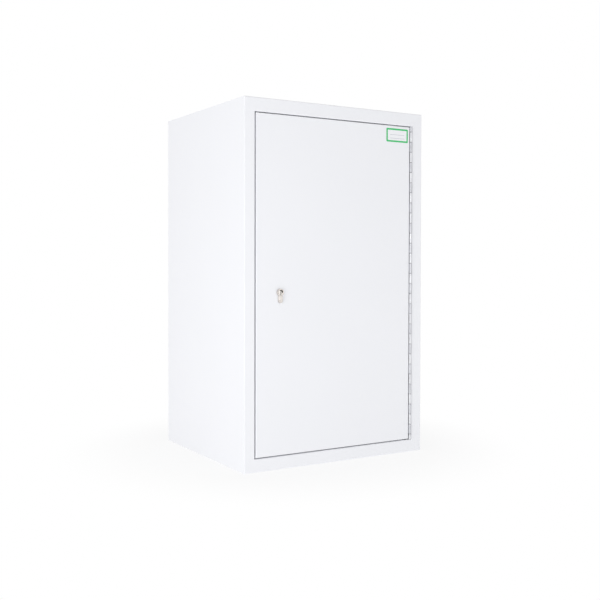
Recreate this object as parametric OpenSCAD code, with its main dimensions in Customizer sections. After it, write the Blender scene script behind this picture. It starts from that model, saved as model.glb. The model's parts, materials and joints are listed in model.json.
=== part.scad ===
// Lockable steel medicine cabinet with an inset door on a full-length hinge.
// A cylinder lock drives a geared case that throws a deadbolt and two locking bars.
// Frame: origin at the centre of the underside, +Z up, door facing -Y, mm throughout.
// Everything is drawn closed and unlocked.

/* [Cabinet] */
// Overall width
body_w = 500; // [420:5:700]
// Overall depth, face frame to back
body_d = 450; // [300:5:600]
// Overall height
body_h = 850; // [700:5:1100]
// Thickness of the cabinet's sheet steel
sheet_t = 1.5; // [1.2:0.1:1.8]
// Outside radius of every fold
fold_r = 2; // [2:0.1:2.5]
// Width of the face frame on the lock side
border_lock = 26.5; // [20:0.5:40]
// Width of the face frame on the hinge side
border_hinge = 29.5; // [20:0.5:40]
// Height of the face frame's top rail
border_top = 32; // [25:0.5:45]
// Height of the face frame's bottom rail
border_base = 30.5; // [25:0.5:45]
// How far the stop lip reaches in behind the door
stop_lip = 10; // [9:0.5:12]
// Width of the rear flange that the back panel is welded to
rear_flange = 15; // [10:1:20]

/* [Door] */
// Thickness of the folded door
door_t = 20; // [16.5:0.5:25]
// Gap above and below the door
door_gap = 2.3; // [2:0.1:3.5]
// Gap between the door and the frame on the lock side
lock_gap = 3.2; // [2:0.1:3.5]
// Thickness of the door's inner sheet
liner_t = 1.2; // [1:0.1:1.5]
// Thickness of the rubber buffers
buffer_t = 2; // [1.5:0.1:3]

/* [Hinge] */
// Outside diameter of the knuckles
knuckle_d = 6.5; // [6.5:0.1:10]
// Gap between the knuckles and the frame, and between them and the door
knuckle_clear = 1; // [1:0.1:1.5]
// Thickness of a hinge leaf
leaf_t = 1.8; // [1.8:0.1:2.4]
// Diameter of the hinge pin
hinge_pin_d = 3; // [3:0.1:4.5]
// Length of one knuckle with its share of the gap
knuckle_pitch = 25.3; // [20:0.1:32]

/* [Lock] */
// Centre of the lock cylinder from the cabinet's lock side
lock_in = 91; // [88:0.5:110]
// Height of the lock cylinder above the base
lock_z = 408.5; // [300:0.5:500]
// How far the cylinder stands out of the door
lock_proud = 5; // [3:0.5:8]
// Teeth on the cylinder's cam gear
cam_teeth = 12; // [12:1:14]
// Teeth on the drive gear, which turns once for several turns of the key
drive_teeth = 48; // [48:1:56]
// Teeth on the pinion that moves the bolt and bars: a multiple of four, to mesh on three sides
pinion_teeth = 16; // [16, 20]

/* [Shelves] */
// Thickness of the shelf steel
shelf_t = 1.2; // [1:0.1:1.5]
// Depth of the fold round a shelf
shelf_fold = 20; // [15:1:25]
// Spacing of the slots in the shelf uprights
slot_pitch = 25; // [20:1:32]

/* [Hidden] */
$fn = 64;

// Colours
paint = [0.94, 0.94, 0.95];
inner_paint = [0.90, 0.91, 0.92];
steel = [0.72, 0.73, 0.75];
nickel = [0.80, 0.79, 0.76];
brass = [0.80, 0.66, 0.36];
rubber = [0.16, 0.16, 0.17];
nylon = [0.88, 0.88, 0.86];
label_green = [0.27, 0.78, 0.47];

// Faces of the cabinet
left_x = -body_w / 2;
right_x = body_w / 2;
front_y = -body_d / 2;
back_y = body_d / 2;
fold_ri = fold_r - sheet_t; // inside radius of a fold
spill = 10; // how far cutting shapes run past what they cut

// The doorway in the face frame
opening_l = left_x + border_lock;
opening_r = right_x - border_hinge;
opening_t = body_h - border_top;
opening_b = border_base;

// Layers from the door's face to the back of the stop lip
door_back_y = front_y + door_t;
stop_y = door_back_y + buffer_t;
lip_back_y = stop_y + sheet_t;

// Door
hinge_gap = knuckle_d + 2 * knuckle_clear; // from the door's edge to the frame
door_l = opening_l + lock_gap;
door_r = opening_r - hinge_gap;
door_b = opening_b + door_gap;
door_top = opening_t - door_gap;
stiffener_w = 60;
stiffener_web = 36;
stiffener_inset = 30; // from the door's top and bottom edges
buffer_r = 4;
buffer_in = 60; // from the door's top and bottom edges and the lock's top

// Hinge
axis_x = opening_r - hinge_gap / 2;
axis_y = front_y;
leaf_w = door_t - 3; // short of the door's back
knuckle_r = knuckle_d / 2;
pin_r = hinge_pin_d / 2;
pin_play = 0.05;
hinge_in = 2; // from the doorway's top and bottom
hinge_len = opening_t - opening_b - 2 * hinge_in;
hinge_b = opening_b + hinge_in;
knuckle_gap = 0.4;
shortest_end = 0.2; // least length of an end knuckle, as a share of a full one
knuckle_count = 2 * floor((hinge_len / knuckle_pitch - 2 * shortest_end) / 2) + 2; // always even
end_knuckle = (hinge_len - (knuckle_count - 2) * knuckle_pitch) / 2;
leaf_notch = 0.6; // clearance between a leaf and the other leaf's knuckles
pin_head_t = 0.8;
pin_head_r = pin_r + 1;
rivet_r = 2;
rivet_head_r = 3.2;
rivet_head_t = 1;
rivet_tail_r = 2.8;
rivet_tail_t = 1.4;
rivet_count = 12;
rivet_gap = 0.7; // from a knuckle's notch to a rivet, and from a rivet to the liner
rivet_y = axis_y + knuckle_r + leaf_notch + rivet_head_r + rivet_gap;
liner_flange = door_back_y - rivet_y - rivet_tail_r - rivet_gap;

// Label on the door's top hinge-side corner
label_w = 65.6;
label_h = 33.4;
label_t = 0.3;
label_r = 2;
label_inset_x = 6;
label_inset_z = 6.7;

// Wall fixings
fixing_x = 175;
fixing_in = 100; // from the top and the base
fixing_r = 5.25;
fixing_plate = 50;
fixing_plate_t = 3;

// Shelf uprights, clips and shelves
shelf_count = 3; // one for each shelf below
upright_w = 20;
upright_d = 6;
upright_t = 1;
upright_front_y = front_y + 75;
upright_rear_y = back_y - 55;
upright_b = 40;
slot_z0 = 62.5;
slot_w = 10;
slot_h = 3;
slot_count = floor((body_h - slot_z0 - 50) / slot_pitch) + 1;
upright_top = slot_z0 + slot_count * slot_pitch - 5;
shelf_step = floor((slot_count + 2) / (shelf_count + 1));
clip_w = 14;
clip_t = 1.2;
clip_reach = 11.5;
clip_rise = 5; // ledge above the upper hook's slot
clip_tail = 4; // clip below the lower hook's slot
hook_w = 9;
hook_h = 2.4;
shelf_gap = 3; // between a shelf's end and the uprights
shelf_front_y = front_y + 53;
shelf_rear_y = back_y - 12;
shelf_x = body_w / 2 - sheet_t - upright_d - shelf_gap;

function shelf_slot(i) = i * shelf_step - 2;
function ledge_z(i) = slot_z0 + shelf_slot(i) * slot_pitch + clip_rise;

// Lock: layers of the mechanism, counted back from the stop lip
lock_x = left_x + lock_in;
layer_gap = 0.6;
bar_t = 4;
bar_y0 = lip_back_y + 0.7;
bar_y1 = bar_y0 + bar_t;
bolt_y0 = bar_y1 + layer_gap;
bolt_y1 = bolt_y0 + bar_t;
gear_y0 = bolt_y1 + layer_gap;
gear_y1 = gear_y0 + bar_t;
cam_y = (gear_y0 + gear_y1) / 2;

// Lock: gears, module 1, 20 degree teeth
tooth_m = 1;
pressure = 20;
tooth_play = 0.12; // taken off each tooth's thickness
pitch_len = PI * tooth_m;
cam_r = cam_teeth * tooth_m / 2;
drive_r = drive_teeth * tooth_m / 2;
pinion_r = pinion_teeth * tooth_m / 2;
gear_z = lock_z + cam_r + drive_r;
rack_add = 0.9;
cam_add = 0.9;
drive_add = 0.7;
rack_ded = 1.15;
rack_root = 0.5; // how far each tooth is sunk into its bar
rack_reach = 4; // length of the teeth in mesh, each side of the pinion's centre
full_throw = 2 * PI * pinion_r * cam_teeth / drive_teeth;

// Lock: cylinder of the euro half profile
cyl_front_y = front_y - lock_proud;
cyl_rear_y = cam_y + 10;
cyl_r = 8.5;
cyl_tail_r = 5;
cyl_tail_z = -19.5;
cam_slot = 10;
cam_slot_floor = -14;
cyl_screw_z = -20;
cyl_screw_r = 2.5;
cyl_head_r = 4.2;
cyl_head_t = 1.4;
plug_r = 6.4;
plug_tail_r = 3;
plug_play = 0.05;
keyway_w = 1.6;
keyway_top = 3.2;
pin_count = 5;
pin_pitch = 5;
pin_first_y = cyl_front_y + 9;
chamber_r = 1.45;
tumbler_r = 1.4;
shear_gap = 0.1;
chamber_floor = -21.5;

// Lock: case
case_t = 1.5;
case_l = lock_x - 50;
case_r = lock_x + drive_r + 7;
case_b = lock_z - 34;
case_top = gear_z + drive_r + 7;
case_back_y = cyl_rear_y - case_t;
ear_h = 12;
case_screw_r = 2;
case_post_r = 3.5;
case_post_in = 4; // centre of a corner post, in from the case's sides
case_screw_in = 15;
case_screw_len = 8;
case_head_r = 3.8;
case_head_t = 2;
cover_screw_r = 1.5;
cover_screw_len = 10;
cover_head_r = 3;
cover_head_t = 1.5;
post_r = 3.95;
post_foot_r = 6;
post_play = 0.05;
groove_r = 3;
groove_y0 = gear_y1 + 0.2;
groove_y1 = groove_y0 + 1;
clip_r = 6;
clip_mouth = 3.6;

// Lock: deadbolt and locking bars
bar_w = 10;
bolt_head_h = 20;
bolt_drop = 2; // how far the head's middle is under the gear's centre
bolt_head_r = lock_x - 29;
bolt_nose = case_l - 0.3;
bolt_bar_h = 6;
bar_clear = 2; // from a locking bar's end to the stop lip when unlocked
bar_play = 0.15;
guide_w = 30;
guide_h = 14;
guide_over = 3;
guide_in = 60; // from the lock and from the door's top and bottom edges
guide_screw_r = 1.75;
guide_screw_len = 6;
guide_head_r = 3.2;
guide_head_t = 1.8;
guide_screw_x = 10;
upper_bar_x = lock_x - pinion_r - rack_ded - bar_w; // left edge of the upper bar
lower_bar_x = lock_x + pinion_r + rack_ded; // left edge of the lower bar
upper_guides = [case_top + guide_in, door_top - guide_in];
lower_guides = [case_b - guide_in, door_b + guide_in];

// ---------- Helpers ----------

// Extrude a front view, drawn in x and z, from y0 back to y1
module along_y(y0, y1) {
    translate([0, y1, 0])
        rotate([90, 0, 0])
            linear_extrude(y1 - y0) children();
}

// Extrude a side view, drawn in y and z, from x0 to x1
module along_x(x0, x1) {
    translate([x0, 0, 0])
        rotate([90, 0, 90])
            linear_extrude(x1 - x0) children();
}

// Extrude a plan, drawn in x and y, from z0 up to z1
module along_z(z0, z1) {
    translate([0, 0, z0])
        linear_extrude(z1 - z0) children();
}

// A box between two corners
module block(low, high) {
    translate(low) cube(high - low);
}

// A rectangle between two corners
module panel(low, high) {
    translate(low) square(high - low);
}

// A round bar along y, with its centre at x, z
module rod_y(x, z, r, y0, y1) {
    translate([x, y0, z])
        rotate([-90, 0, 0])
            cylinder(r = r, h = y1 - y0);
}

// A round bar along x, with its centre at y, z
module rod_x(y, z, r, x0, x1) {
    translate([x0, y, z])
        rotate([0, 90, 0])
            cylinder(r = r, h = x1 - x0);
}

// A quarter of a ring of sheet about a centre, in the quadrant that sx and sy point to
module fold(centre, sx, sy) {
    translate(centre)
        intersection() {
            difference() {
                circle(r = fold_r);
                circle(r = fold_ri);
            }
            translate([sx < 0 ? -fold_r : 0, sy < 0 ? -fold_r : 0]) square(fold_r);
        }
}

// ---------- Cabinet shell ----------

// Section of a folded wall: u runs in from its outer face, v from front to back
module wall_section(border) {
    panel([0, front_y + fold_r], [sheet_t, back_y - fold_r]);
    fold([fold_r, front_y + fold_r], -1, -1);
    panel([fold_r, front_y], [border - fold_r, front_y + sheet_t]);
    fold([border - fold_r, front_y + fold_r], 1, -1);
    panel([border - sheet_t, front_y + fold_r], [border, stop_y - fold_ri]);
    fold([border + fold_ri, stop_y - fold_ri], -1, 1);
    panel([border + fold_ri, stop_y], [border + stop_lip, stop_y + sheet_t]);
    fold([fold_r, back_y - fold_r], -1, 1);
    panel([fold_r, back_y - sheet_t], [rear_flange, back_y]);
}

// The four mitre lines of the front, from outside the corner to inside the stop lip
weld = 3; // length of the 45 degree start of each mitre
function mitre(corner, doorway, sx, sz) = [
    corner + [sx * spill, sz * spill],
    corner - [sx * weld, sz * weld],
    doorway,
    doorway - [sx * 2 * stop_lip, sz * 2 * stop_lip]
];
function reversed(list) = [for (i = [len(list) - 1:-1:0]) list[i]];
mitre_tl = mitre([left_x, body_h], [opening_l, opening_t], -1, 1);
mitre_tr = mitre([right_x, body_h], [opening_r, opening_t], 1, 1);
mitre_bl = mitre([left_x, 0], [opening_l, opening_b], -1, -1);
mitre_br = mitre([right_x, 0], [opening_r, opening_b], 1, -1);

// At the back the mitres run at 45 degrees all the way
function rear_mitre(corner, sx, sz) = [
    corner + [sx * spill, sz * spill],
    corner - [sx * 2 * rear_flange, sz * 2 * rear_flange]
];
rear_tl = rear_mitre([left_x, body_h], -1, 1);
rear_tr = rear_mitre([right_x, body_h], 1, 1);
rear_bl = rear_mitre([left_x, 0], -1, -1);
rear_br = rear_mitre([right_x, 0], 1, -1);

// The space that belongs to one wall, between its two mitres
module wall_zone(mitre_a, mitre_b, rear_a, rear_b) {
    along_y(front_y - spill, 0) polygon(concat(mitre_a, reversed(mitre_b)));
    along_y(0, back_y + spill) polygon(concat(rear_a, reversed(rear_b)));
}

module left_side_panel() {
    color(paint)
        intersection() {
            along_z(0, body_h) translate([left_x, 0]) wall_section(border_lock);
            wall_zone(mitre_tl, mitre_bl, rear_tl, rear_bl);
        }
}

module right_side_panel() {
    color(paint)
        difference() {
            intersection() {
                along_z(0, body_h) translate([right_x, 0]) mirror([1, 0]) wall_section(border_hinge);
                wall_zone(mitre_tr, mitre_br, rear_tr, rear_br);
            }
            hinge_rivets(opening_r, opening_r + sheet_t);
        }
}

module top_panel() {
    color(paint)
        intersection() {
            along_x(left_x, right_x) translate([0, body_h]) rotate(-90) wall_section(border_top);
            wall_zone(mitre_tl, mitre_tr, rear_tl, rear_tr);
        }
}

module base_panel() {
    color(paint)
        intersection() {
            along_x(left_x, right_x) mirror([1, -1]) wall_section(border_base);
            wall_zone(mitre_bl, mitre_br, rear_bl, rear_br);
        }
}

module back_panel() {
    color(paint)
        difference() {
            block([left_x + fold_r, back_y - 2 * sheet_t, fold_r],
                  [right_x - fold_r, back_y - sheet_t, body_h - fold_r]);
            fixing_holes();
        }
}

// The four holes for wall bolts
module fixing_holes() {
    for (x = [-fixing_x, fixing_x], z = [fixing_in, body_h - fixing_in])
        rod_y(x, z, fixing_r, back_y - spill, back_y + spill);
}

module wall_fixing_plates() {
    plate_y = back_y - 2 * sheet_t;
    color(steel)
        difference() {
            for (x = [-fixing_x, fixing_x], z = [fixing_in, body_h - fixing_in])
                block([x - fixing_plate / 2, plate_y - fixing_plate_t, z - fixing_plate / 2],
                      [x + fixing_plate / 2, plate_y, z + fixing_plate / 2]);
            fixing_holes();
        }
}

// ---------- Shelves ----------

// An upright on the left wall: a shallow channel with a ladder of slots
module shelf_upright(y) {
    x = left_x + sheet_t;
    difference() {
        block([x, y - upright_w / 2, upright_b], [x + upright_d, y + upright_w / 2, upright_top]);
        block([x - 1, y - upright_w / 2 + upright_t, upright_b - 1],
              [x + upright_d - upright_t, y + upright_w / 2 - upright_t, upright_top + 1]);
        for (k = [0:slot_count - 1])
            translate([x + upright_d - 2, y - slot_w / 2, slot_z0 + k * slot_pitch - slot_h / 2])
                cube([4, slot_w, slot_h]);
    }
}

module shelf_upright_front_left() {
    color(steel) shelf_upright(upright_front_y);
}

module shelf_upright_rear_left() {
    color(steel) shelf_upright(upright_rear_y);
}

module shelf_upright_front_right() {
    color(steel) mirror([1, 0, 0]) shelf_upright(upright_front_y);
}

module shelf_upright_rear_right() {
    color(steel) mirror([1, 0, 0]) shelf_upright(upright_rear_y);
}

// A clip on the left wall, hooked into two slots, with a ledge for the shelf
module shelf_clip(y, ledge) {
    face = left_x + sheet_t + upright_d;
    slot = ledge - clip_rise;
    block([face, y - clip_w / 2, slot - slot_pitch - clip_tail], [face + clip_t, y + clip_w / 2, ledge]);
    block([face, y - clip_w / 2, ledge - clip_t], [face + clip_reach, y + clip_w / 2, ledge]);
    for (z = [slot, slot - slot_pitch])
        block([face - 2, y - hook_w / 2, z - hook_h / 2], [face, y + hook_w / 2, z + hook_h / 2]);
}

module shelf_clips() {
    color(steel)
        for (side = [0, 1], i = [1:shelf_count], y = [upright_front_y, upright_rear_y])
            mirror([side, 0, 0]) shelf_clip(y, ledge_z(i));
}

// A shelf: a shallow tray turned upside down
module shelf(i) {
    low = ledge_z(i);
    color(inner_paint)
        difference() {
            block([-shelf_x, shelf_front_y, low], [shelf_x, shelf_rear_y, low + shelf_fold]);
            block([-shelf_x + shelf_t, shelf_front_y + shelf_t, low - 1],
                  [shelf_x - shelf_t, shelf_rear_y - shelf_t, low + shelf_fold - shelf_t]);
        }
}

module lower_shelf() {
    shelf(1);
}

module middle_shelf() {
    shelf(2);
}

module upper_shelf() {
    shelf(3);
}

// ---------- Hinge ----------

// Lower end of knuckle k, or the hinge's top for one past the last: the end knuckles are cut short
function knuckle_z(k) =
    k == 0 ? hinge_b
    : k == knuckle_count ? hinge_b + hinge_len
    : hinge_b + end_knuckle + (k - 1) * knuckle_pitch;

// A leaf on the frame side, carrying every second knuckle from the first one given
module hinge_leaf(first) {
    face = hinge_gap / 2;
    translate([axis_x, axis_y, 0])
        difference() {
            union() {
                block([face - leaf_t, 0, hinge_b], [face, leaf_w, hinge_b + hinge_len]);
                for (k = [first:2:knuckle_count - 1])
                    translate([0, 0, knuckle_z(k)])
                        cylinder(r = knuckle_r, h = knuckle_z(k + 1) - knuckle_z(k));
            }
            for (k = [1 - first:2:knuckle_count - 1])
                translate([0, 0, knuckle_z(k)])
                    cylinder(r = knuckle_r + leaf_notch + leaf_t, h = knuckle_z(k + 1) - knuckle_z(k));
            for (k = [1:knuckle_count - 1])
                translate([0, 0, knuckle_z(k) - knuckle_gap / 2])
                    cylinder(r = knuckle_r + leaf_notch, h = knuckle_gap);
            translate([0, 0, hinge_b - 1])
                cylinder(r = pin_r + pin_play, h = hinge_len + 2);
        }
}

// Centres of the rivets up the hinge
rivet_step = hinge_len / rivet_count;
function rivet_z(i) = hinge_b + (i + 0.5) * rivet_step;

// The shanks of the rivets between two faces
module hinge_rivets(x0, x1) {
    for (i = [0:rivet_count - 1])
        rod_x(rivet_y, rivet_z(i), rivet_r, x0, x1);
}

module frame_hinge_leaf() {
    color(steel)
        difference() {
            hinge_leaf(0);
            hinge_rivets(opening_r - leaf_t - 1, opening_r + 1);
        }
}

module door_hinge_leaf() {
    color(steel)
        difference() {
            translate([2 * axis_x, 0, 0]) mirror([1, 0, 0]) hinge_leaf(1);
            hinge_rivets(door_r - 1, door_r + leaf_t + 1);
        }
}

// Rivets from a head at x on the leaf to a tail behind the sheet, in the direction given
module rivets(head_x, grip, direction) {
    for (i = [0:rivet_count - 1])
        translate([head_x, rivet_y, rivet_z(i)])
            rotate([0, 90 * direction, 0]) {
                translate([0, 0, -rivet_head_t]) cylinder(r = rivet_head_r, h = rivet_head_t);
                cylinder(r = rivet_r, h = grip);
                translate([0, 0, grip]) cylinder(r = rivet_tail_r, h = rivet_tail_t);
            }
}

module frame_hinge_rivets() {
    color(steel) rivets(opening_r - leaf_t, leaf_t + sheet_t, 1);
}

module door_hinge_rivets() {
    color(steel) rivets(door_r + leaf_t, leaf_t + sheet_t, -1);
}

module hinge_pin() {
    color(steel)
        translate([axis_x, axis_y, 0]) {
            translate([0, 0, hinge_b]) cylinder(r = pin_r, h = hinge_len);
            translate([0, 0, hinge_b - pin_head_t]) cylinder(r = pin_head_r, h = pin_head_t);
            translate([0, 0, hinge_b + hinge_len]) cylinder(r = pin_head_r, h = pin_head_t);
        }
}

// ---------- Door ----------

// A rectangle from a to b whose two front corners, at y0, are rounded
module front_rounded(a, b, y0, y1, r) {
    panel([a, y0 + r], [b, y1]);
    panel([a + r, y0], [b - r, y0 + r]);
    for (x = [a + r, b - r])
        translate([x, y0 + r]) circle(r = r);
}

// A door-shaped block, its four front edges rounded, drawn in from the door's outline
module door_block(inset, y1, r) {
    intersection() {
        along_z(door_b + inset, door_top - inset)
            front_rounded(door_l + inset, door_r - inset, front_y + inset, y1, r);
        along_x(door_l + inset, door_r - inset)
            mirror([1, -1])
                front_rounded(door_b + inset, door_top - inset, front_y + inset, y1, r);
    }
}

// Outline of the lock cylinder about its plug, grown by a clearance
module cylinder_outline(grow = 0) {
    circle(r = cyl_r + grow);
    translate([0, cyl_tail_z]) circle(r = cyl_tail_r + grow);
    panel([-cyl_tail_r - grow, cyl_tail_z], [cyl_tail_r + grow, 0]);
}

// The hole for the lock cylinder between two layers
module cylinder_hole(y0, y1) {
    along_y(y0, y1) translate([lock_x, lock_z]) cylinder_outline(0.2);
}

module door_skin() {
    color(paint)
        difference() {
            door_block(0, door_back_y, fold_r);
            door_block(sheet_t, door_back_y + 1, fold_ri);
            cylinder_hole(front_y - 1, front_y + sheet_t + 1);
            hinge_rivets(door_r - sheet_t - 1, door_r + 1);
        }
}

module door_liner() {
    inset = sheet_t;
    x0 = door_l + inset;
    x1 = door_r - inset;
    z0 = door_b + inset;
    z1 = door_top - inset;
    color(paint)
        difference() {
            block([x0, door_back_y - liner_flange, z0], [x1, door_back_y, z1]);
            block([x0 + liner_t, door_back_y - liner_flange - 1, z0 + liner_t],
                  [x1 - liner_t, door_back_y - liner_t, z1 - liner_t]);
            cylinder_hole(door_back_y - liner_t - 1, door_back_y + 1);
            case_mountings(case_screw_r, door_back_y - liner_t - 1, door_back_y + 1);
            guide_mountings(guide_screw_r, door_back_y - liner_t - 1, door_back_y + 1);
        }
}

// A top-hat channel up the middle of the door
module door_stiffener() {
    y0 = front_y + sheet_t;
    y1 = door_back_y - liner_t;
    half = stiffener_w / 2;
    web = stiffener_web / 2;
    color(steel)
        along_z(door_b + stiffener_inset, door_top - stiffener_inset) {
            for (side = [0, 1])
                mirror([side, 0]) {
                    panel([web - liner_t, y0], [half, y0 + liner_t]);
                    panel([web - liner_t, y0], [web, y1]);
                }
            panel([-web, y1 - liner_t], [web, y1]);
        }
}

module door_buffers() {
    color(rubber)
        for (z = [door_b + buffer_in, case_top + buffer_in, door_top - buffer_in])
            rod_y(opening_l + stop_lip / 2 + 0.5, z, buffer_r, door_back_y, stop_y);
}

// A blank label with a coloured rim: round corners made of circles
module label() {
    x1 = door_r - label_inset_x;
    x0 = x1 - label_w;
    z1 = door_top - label_inset_z;
    z0 = z1 - label_h;
    color(label_green)
        along_y(front_y - label_t, front_y) {
            panel([x0 + label_r, z0], [x1 - label_r, z1]);
            panel([x0, z0 + label_r], [x1, z1 - label_r]);
            for (x = [x0 + label_r, x1 - label_r], z = [z0 + label_r, z1 - label_r])
                translate([x, z]) circle(r = label_r);
        }
}

// ---------- Gears and racks ----------

function involute(a) = tan(a) * 180 / PI - a;

// Half the angle that a tooth fills at radius r
function tooth_half(r, teeth) =
    let (pitch = teeth * tooth_m / 2, base = pitch * cos(pressure))
    90 / teeth - tooth_play / 4 / pitch * 180 / PI
    + involute(pressure) - involute(acos(min(1, base / r)));

// Radii down one flank, from the root through the base circle to the tip
function flank_radii(teeth, add) =
    let (pitch = teeth * tooth_m / 2,
         root = pitch - rack_ded,
         base = max(root + 0.1, pitch * cos(pressure)),
         tip = pitch + add)
    [root, for (i = [0:3]) base + i / 3 * (tip - base)];

// A spur gear with a tooth centred on +x, drawn about its centre
module gear_outline(teeth, add) {
    radii = flank_radii(teeth, add);
    polygon([
        for (i = [0:teeth - 1])
            for (side = [-1, 1])
                for (r = side < 0 ? radii : reversed(radii))
                    let (a = i * 360 / teeth + side * tooth_half(r, teeth)) r * [cos(a), sin(a)]
    ]);
}

// Teeth of a rack along x that points up at the pitch line z = 0, between two lengths
module rack_teeth(x0, x1) {
    slope = tan(pressure);
    half = pitch_len / 4 - tooth_play / 4;
    first = ceil(x0 / pitch_len - 0.5);
    last = floor(x1 / pitch_len - 0.5);
    for (k = [first:last])
        translate([(k + 0.5) * pitch_len, 0])
            polygon([
                [-half - rack_ded * slope, -rack_ded - rack_root],
                [-half - rack_ded * slope, -rack_ded],
                [-half + rack_add * slope, rack_add],
                [half - rack_add * slope, rack_add],
                [half + rack_ded * slope, -rack_ded],
                [half + rack_ded * slope, -rack_ded - rack_root]
            ]);
}

// ---------- Lock cylinder ----------

module at_lock() {
    translate([lock_x, 0, lock_z]) children();
}

// Something once for each row of pins
module each_pin() {
    for (i = [0:pin_count - 1])
        translate([0, pin_first_y + i * pin_pitch, 0]) children();
}

module cylinder_body() {
    color(nickel)
        at_lock()
            difference() {
                along_y(cyl_front_y, cyl_rear_y) cylinder_outline();
                rod_y(0, 0, plug_r + plug_play, cyl_front_y - 1, cam_y - cam_slot / 2 + 1);
                block([-cyl_r - 1, cam_y - cam_slot / 2, cam_slot_floor],
                      [cyl_r + 1, cam_y + cam_slot / 2, cyl_r + 1]);
                rod_y(0, 0, plug_tail_r + plug_play, cam_y, cyl_rear_y + 1);
                rod_x(cam_y, cyl_screw_z, cyl_screw_r, -cyl_tail_r - 1, cyl_tail_r + 1);
                each_pin()
                    translate([0, 0, cyl_tail_z - cyl_tail_r - 1])
                        cylinder(r = chamber_r, h = cyl_tail_r - cyl_tail_z + 1);
            }
}

module cylinder_plug() {
    color(brass)
        at_lock()
            difference() {
                union() {
                    rod_y(0, 0, plug_r, cyl_front_y, cam_y - cam_slot / 2);
                    rod_y(0, 0, plug_tail_r, cam_y - cam_slot / 2, cyl_rear_y - 1);
                }
                block([-keyway_w / 2, cyl_front_y - 1, -plug_r - 1],
                      [keyway_w / 2, cam_y - cam_slot / 2 - 2, keyway_top]);
                each_pin()
                    translate([0, 0, -plug_r - 1]) cylinder(r = chamber_r, h = plug_r + 1);
            }
}

// Length of key pin i: they differ, as the cuts of a key do
function key_pin_len(i) = 3 + [0.5, 1.1, 0.2, 0.8, 1.4][i % 5];

module key_pins() {
    color(brass)
        at_lock()
            for (i = [0:pin_count - 1])
                translate([0, pin_first_y + i * pin_pitch, -plug_r + shear_gap])
                    cylinder(r = tumbler_r, h = key_pin_len(i));
}

driver_len = 4;
driver_top = -plug_r - plug_play - shear_gap;
module driver_pins() {
    color(steel)
        at_lock()
            each_pin()
                translate([0, 0, driver_top - driver_len]) cylinder(r = tumbler_r, h = driver_len);
}

// A coil of round wire about z, as rings of points swept along a helix
spring_r = 1.1;
wire_r = 0.2;
spring_turns = 6;
spring_steps = 9;
wire_sides = 5;
spring_b = chamber_floor + wire_r;
spring_top = driver_top - driver_len - wire_r;
function spring_ring(k) =
    let (a = 360 * k / spring_steps,
         z = spring_b + (spring_top - spring_b) * k / spring_turns / spring_steps)
    [for (j = [0:wire_sides - 1])
        let (b = 360 * j / wire_sides, r = spring_r + wire_r * cos(b))
        [r * cos(a), r * sin(a), z + wire_r * sin(b)]];

module coil_spring() {
    rings = spring_turns * spring_steps;
    points = [for (k = [0:rings]) each spring_ring(k)];
    sides = [for (k = [0:rings - 1], j = [0:wire_sides - 1])
        let (n = (j + 1) % wire_sides, a = k * wire_sides, b = a + wire_sides)
        each [[a + j, b + j, b + n], [a + j, b + n, a + n]]];
    start = [for (j = [1:wire_sides - 2]) [0, j, j + 1]];
    end = [for (j = [1:wire_sides - 2]) [for (c = [0, j + 1, j]) rings * wire_sides + c]];
    polyhedron(points, concat(start, sides, end));
}

module pin_springs() {
    color(steel)
        at_lock()
            each_pin() coil_spring();
}

module chamber_plugs() {
    color(brass)
        at_lock()
            intersection() {
                each_pin()
                    translate([0, 0, cyl_tail_z - cyl_tail_r - 1])
                        cylinder(r = chamber_r, h = chamber_floor - cyl_tail_z + cyl_tail_r + 1);
                along_y(cyl_front_y, cyl_rear_y) cylinder_outline();
            }
}

// The cam gear has a tooth straight up, and a hub that fills the slot in the cylinder
module cam_gear() {
    hub = cam_slot / 2 - 0.2;
    color(steel)
        at_lock()
            difference() {
                union() {
                    along_y(gear_y0, gear_y1) rotate(90) gear_outline(cam_teeth, cam_add);
                    rod_y(0, 0, cam_r - rack_ded - 0.1, cam_y - hub, cam_y + hub);
                }
                rod_y(0, 0, plug_tail_r, cam_y - cam_slot, cam_y + cam_slot);
            }
}

// The drive gear has a gap straight down, where the cam gear's tooth sits
module drive_gear() {
    color(steel)
        translate([lock_x, 0, gear_z])
            difference() {
                along_y(gear_y0, gear_y1)
                    rotate(180 / drive_teeth - 90) gear_outline(drive_teeth, drive_add);
                rod_y(0, 0, post_r + post_play, gear_y0 - 1, gear_y1 + 1);
            }
}

// The pinion has a tooth on each axis, and is fixed to the front of the drive gear
module bolt_pinion() {
    color(brass)
        translate([lock_x, 0, gear_z])
            difference() {
                along_y(bar_y0 - 0.2, gear_y0) gear_outline(pinion_teeth, rack_add);
                rod_y(0, 0, post_r + post_play, bar_y0 - 2, gear_y0 + 1);
            }
}

// ---------- Lock case ----------

// The four screws that hold the case's ears to the door
module case_mountings(r, y0, y1) {
    for (x = [case_l + case_screw_in, case_r - case_screw_in],
         z = [case_b - ear_h / 2, case_top + ear_h / 2])
        rod_y(x, z, r, y0, y1);
}

// The four corner posts that take the cover's screws
module cover_posts(r, y0, y1) {
    for (x = [case_l + case_post_in, case_r - case_post_in],
         z = [case_b + case_post_in, case_top - case_post_in])
        rod_y(x, z, r, y0, y1);
}

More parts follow.
